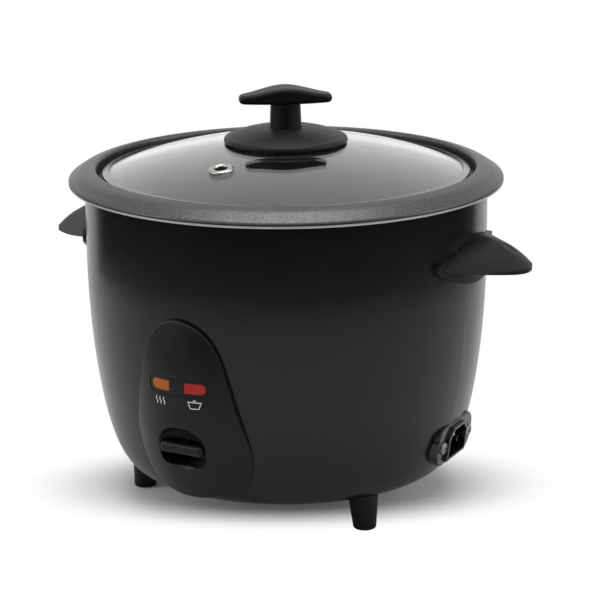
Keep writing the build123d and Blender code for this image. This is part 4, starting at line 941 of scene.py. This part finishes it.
@dataclass
class PotAndLid:
    """Lift-out pot with its rolled flange, and the glass lid with its eyelet."""

    sheet: float = 1.2 * MM
    wall_r: float = 104.9 * MM
    riser_r: float = 112.0 * MM
    edge_r: float = 126.9 * MM
    floor_z: float = 70.7 * MM
    ledge_z: float = 190.0 * MM
    crest_z: float = 199.2 * MM
    sags: tuple[float, ...] = (1.7 * MM, 6.6 * MM, 8.6 * MM)
    bends: tuple[float, ...] = (20.0 * MM, 1.6 * MM, 1.2 * MM, 1.4 * MM, 14.0 * MM, 1.4 * MM)
    bend_steps: int = 10
    groove_top: float = 191.84 * MM
    groove_low: float = 191.4 * MM
    groove_depth: float = 0.45 * MM
    groove_slope: float = 0.1 * MM
    turns: int = 224
    vent_at: float = 65.8 * MM
    vent_z: float = 207.38 * MM
    vent_angle: float = -3.5
    dome_r: float = 320.0 * MM
    vent_r: float = 3.6 * MM
    vent_wall: float = 0.8 * MM
    vent_out: float = 7.3 * MM
    vent_thick: float = 1.3 * MM
    vent_spread: tuple[float, float] = (6.4 * MM, 0.8 * MM)
    vent_under: float = 4.05 * MM
    vent_seat: float = 0.05 * MM
    vent_full: float = 0.7
    vent_turns: int = 64
    finishes: Coats = (
        (LID_GLASS, "glass_lid"), (POLISHED_STEEL_PAINTED_SHADE, "lid_band"), (PLASTIC, "knob_base lid_knob"),
        (ZINC, "knob_screw"), (SILICONE, "knob_washer"))

    def dress(self) -> None:
        """Finishes the pot's and the lid's nodes and turns the pot and the eyelet."""
        PAINT.dress(self.finishes)
        pot = turned("pot_turned", self.pot_outline(), Matrix.Identity(4), self.turns)
        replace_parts(new_piece("pot_turned", pot, POT_COAT, "pot"), "inner_pot")
        eyelet = turned("eyelet_rolled", self.eyelet_outline(), self.eyelet_place(), self.vent_turns)
        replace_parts(new_piece("eyelet_rolled", eyelet, CHROME, "lid"), "vent_eyelet")

    def pot_outline(self) -> list[Vector]:
        """Section of the pot's sheet, with a fine groove above the rolled lip.

        Returns:
            The closed outline, from the axis over the inside and back under.
        """
        mid_sag, edge_sag, lip_sag = self.sags
        half = self.sheet / 2.0
        line = filleted([Vector(p) for p in (
            (0.0, self.floor_z), (self.wall_r, self.floor_z), (self.wall_r, self.ledge_z),
            (self.riser_r, self.ledge_z), (self.riser_r, self.crest_z),
            ((self.riser_r + self.edge_r) / 2.0, self.crest_z - mid_sag),
            (self.edge_r, self.crest_z - edge_sag), (self.edge_r, self.crest_z - lip_sag))],
            self.bends, self.bend_steps)
        top, under = beside(line, half), beside(line, -half)
        outer = self.edge_r + half
        deep = outer - self.groove_depth
        groove = [Vector(p) for p in (
            (outer, self.groove_top), (deep, self.groove_top - self.groove_slope),
            (deep, self.groove_low + self.groove_slope), (outer, self.groove_low))]
        end = line[-1]
        spread = [math.pi * i / self.bend_steps for i in range(1, self.bend_steps)]
        cap = [end + Vector((math.cos(t), -math.sin(t))) * half for t in spread]
        return top[:-1] + groove + top[-1:] + cap + under[::-1]

    def eyelet_place(self) -> Matrix:
        """Frame of the eyelet on the glass.

        Returns:
            The frame, with Z along the glass's normal.
        """
        turn, tilt = math.radians(self.vent_angle), math.asin(self.vent_at / self.dome_r)
        out = Vector((math.sin(turn), -math.cos(turn), 0.0))
        normal = out * math.sin(tilt) + Vector((0.0, 0.0, math.cos(tilt)))
        middle = out * self.vent_at + Vector((0.0, 0.0, self.vent_z))
        return Matrix.Translation(middle) @ normal.to_track_quat("Z", "Y").to_matrix().to_4x4()

    def eyelet_outline(self) -> list[Vector]:
        """Section of the eyelet: a rolled head, a sleeve and a spread foot.

        Returns:
            The closed outline.
        """
        wide, thin = self.vent_spread
        wall, low = self.vent_r + self.vent_wall, -self.vent_under
        middle = (self.vent_r + self.vent_out) / 2.0
        half = (self.vent_out - self.vent_r) / 2.0
        shares = [math.pi * i / self.bend_steps for i in range(self.bend_steps + 1)]
        roll = [Vector((middle + half * math.cos(t),
                        self.vent_seat + self.vent_thick * math.sin(t) ** self.vent_full))
                for t in shares[1:-1]]
        foot = [(self.vent_r, low - thin), (wide, low - thin), (wide, low), (wall, low),
                (wall, self.vent_seat), (self.vent_out, self.vent_seat)]
        return [Vector(p) for p in foot] + roll + [Vector((self.vent_r, self.vent_seat))]


@dataclass(frozen=True)
class Lamp:
    """A soft lamp: how far right, towards the camera and up it hangs, its size and its watts."""

    name: str
    right: float
    back: float
    up: float
    size: tuple[float, float]
    watts: float


@dataclass
class Studio:
    """White table, soft lamps, white surroundings and the camera."""

    azimuth: float = 30.0
    elevation: float = 15.3
    distance: float = 1.4
    lens: float = 140.65
    sensor: float = 36.0
    far: float = 50.0
    aim_height: float = 0.110
    aim_right: float = 0.0075
    aim_up: float = 0.0056
    roll: float = -0.5
    floor_half: float = 6.0
    floor_white: float = 0.9
    floor_lift: float = 0.02
    shadow_wide: float = 0.175
    shadow_deep: float = 0.083
    shadow_core: float = 0.5
    table_steps: int = 96
    table_z: float = 0.0002
    room_dark: float = 0.02
    card_half: float = 2.6
    card_low: float = -2.4
    card_high: float = 1.1
    card_side_high: float = 0.0
    table_r: float = 0.6
    world_fill: float = 0.4
    seen_white: float = 1.0
    lamp_aim: float = 0.12
    lamps: tuple[Lamp, ...] = (
        Lamp("overhead", 0.0, 0.0, 1.7, (1.3, 1.3), 19.0),
        Lamp("left_side", -1.6, 0.5, 0.8, (0.8, 1.2), 6.0),
        Lamp("right_side", 1.6, 0.2, 0.8, (0.8, 1.2), 6.0))

    def axes(self) -> tuple[Vector, Vector, Vector]:
        """Directions of the view.

        Returns:
            Right, up, and back towards the camera.
        """
        a, e = math.radians(self.azimuth), math.radians(self.elevation)
        back = Vector((math.sin(a) * math.cos(e), -math.cos(a) * math.cos(e), math.sin(e)))
        right = Vector((math.cos(a), math.sin(a), 0.0))
        return right, back.cross(right), back

    def camera(self) -> None:
        """Places the camera at the photograph's viewing angle."""
        right, up, back = self.axes()
        aim = Vector((0.0, 0.0, self.aim_height)) + right * self.aim_right + up * self.aim_up
        data = bpy.data.cameras.new("camera")
        data.lens, data.sensor_width, data.clip_end = self.lens, self.sensor, self.far
        camera = placed("camera", data)
        tilt = Matrix.Rotation(math.radians(self.roll), 3, back)
        turn = Matrix((tilt @ right, tilt @ up, back)).transposed().to_4x4()
        camera.matrix_world = Matrix.Translation(aim + back * self.distance) @ turn
        bpy.context.scene.camera = camera

    def world(self) -> None:
        """White surroundings for what is seen and mirrored, a softer fill for the rest."""
        world = bpy.data.worlds.new("studio")
        bpy.context.scene.world = world
        world.use_nodes = True
        world.node_tree.nodes.clear()
        tree = NodeTree(world.node_tree)
        path = tree.add("ShaderNodeLightPath").outputs
        seen = path["Is Camera Ray"]
        for name in ("Is Glossy Ray", "Is Transmission Ray"):
            seen = tree.sum("MAXIMUM", seen, path[name])
        mix = tree.add("ShaderNodeMixShader", {"Fac": seen})
        for strength, shader in zip((self.world_fill, self.seen_white), mix.inputs[1:]):
            light = tree.add("ShaderNodeBackground", {"Color": WHITE, "Strength": strength})
            tree.link(light.outputs[0], shader)
        tree.add("ShaderNodeOutputWorld", {"Surface": mix.outputs[0]})

    def flat(self, name: str, corners: list[Vector], material: Material) -> Object:
        """Adds a flat stage piece.

        Args:
            name: its name.
            corners: its corners in order.
            material: its material.

        Returns:
            The new object.
        """
        mesh = bpy.data.meshes.new(name)
        mesh.from_pydata(corners, [], [list(range(len(corners)))])
        mesh.materials.append(material)
        piece = placed(name, mesh)
        return piece

    def plain(self, name: str, white: float, lift: float, fades: bool = False) -> Material:
        """Pale matt stage material.

        Args:
            name: its name.
            white: its paleness under the lamps.
            lift: light that it adds where the camera sees it.
            fades: whether it is pure white to the camera away from the object.

        Returns:
            The new material.
        """
        shade = Shade(name)
        shade.tree.nodes.remove(shade.shader)
        seen = shade.add("ShaderNodeLightPath").outputs["Is Camera Ray"]
        matt = shade.add("ShaderNodeBsdfDiffuse", {"Color": (white, white, white, 1.0)})
        glow = shade.add("ShaderNodeEmission", {"Strength": shade.span(seen, 0.0, lift)})
        surface = shade.add("ShaderNodeAddShader", {0: matt.outputs[0], 1: glow.outputs[0]}).outputs[0]
        if fades:
            oval = shade.add("ShaderNodeMapping", {
                "Vector": shade.where, "Rotation": (0.0, 0.0, math.radians(self.azimuth)),
                "Scale": (self.shadow_wide, self.shadow_deep, 1.0)}, vector_type="TEXTURE")
            away = shade.ramp(shade.reach(oval.outputs["Vector"]), self.shadow_core, 1.0)
            bright = shade.add("ShaderNodeEmission").outputs[0]
            surface = shade.add("ShaderNodeMixShader", {
                "Fac": shade.sum("MULTIPLY", away, seen), 1: surface, 2: bright}).outputs[0]
        shade.link(surface, shade.tree.nodes["Material Output"].inputs["Surface"])
        return shade.material

    def floor(self) -> None:
        """Pale floor, the part of it that is mirrored, and the dark room round the camera."""
        h = self.floor_half
        corners = [Vector((x, y, 0.0)) for x, y in ((-h, -h), (h, -h), (h, h), (-h, h))]
        white = self.floor_white, self.floor_lift
        floor = self.flat("floor", corners, self.plain("floor_white", *white, fades=True))
        floor.visible_glossy = False
        ring = [2.0 * math.pi * i / self.table_steps for i in range(self.table_steps)]
        rim = [around(self.table_r, t, self.table_z) for t in ring]
        unseen = [self.flat("table", rim, self.plain("table_white", *white))]
        right, _, back = self.axes()
        front = Vector((back.x, back.y, 0.0)).normalized()
        black = self.plain("room_dark", self.room_dark, 0.0)
        spots = [(right * x + front * y) * self.card_half for x, y in ((-1, -1), (-1, 1), (1, 1), (1, -1))]
        side, low = self.card_side_high, Vector((0.0, 0.0, self.card_low))
        cards = (("dark_left", side), ("dark_front", self.card_high), ("dark_right", side))
        for (name, high), one, two in zip(cards, spots, spots[1:]):
            top = Vector((0.0, 0.0, high))
            unseen.append(self.flat(name, [one + low, two + low, two + top, one + top], black))
        for piece in unseen:
            for rays in ("camera", "diffuse", "shadow", "transmission"):
                setattr(piece, "visible_" + rays, False)

    def light(self) -> None:
        """Hangs the lamps and turns them to the object."""
        right, _, back = self.axes()
        aim = Vector((0.0, 0.0, self.lamp_aim))
        for lamp in self.lamps:
            data = bpy.data.lights.new(lamp.name, "AREA")
            data.shape = "ELLIPSE"
            data.size, data.size_y = lamp.size
            data.energy = lamp.watts
            place = right * lamp.right + back * lamp.back + Vector((0.0, 0.0, lamp.up))
            hung = placed(lamp.name, data)
            hung.location = place
            hung.rotation_mode = "QUATERNION"
            hung.rotation_quaternion = (aim - place).to_track_quat("-Z", "Y")

    def build(self) -> None:
        """Sets the whole stage."""
        bpy.context.scene.view_settings.view_transform = "Standard"
        self.world()
        self.floor()
        self.light()
        self.camera()


def main() -> None:
    """Dresses every sub-assembly and sets the stage."""
    logging.basicConfig(level=logging.INFO)
    for assembly in (Shell(), Panel(), Works(), Inlet(), PotAndLid()):
        assembly.dress()
    Studio().build()


if __name__ == "__main__":
    main()
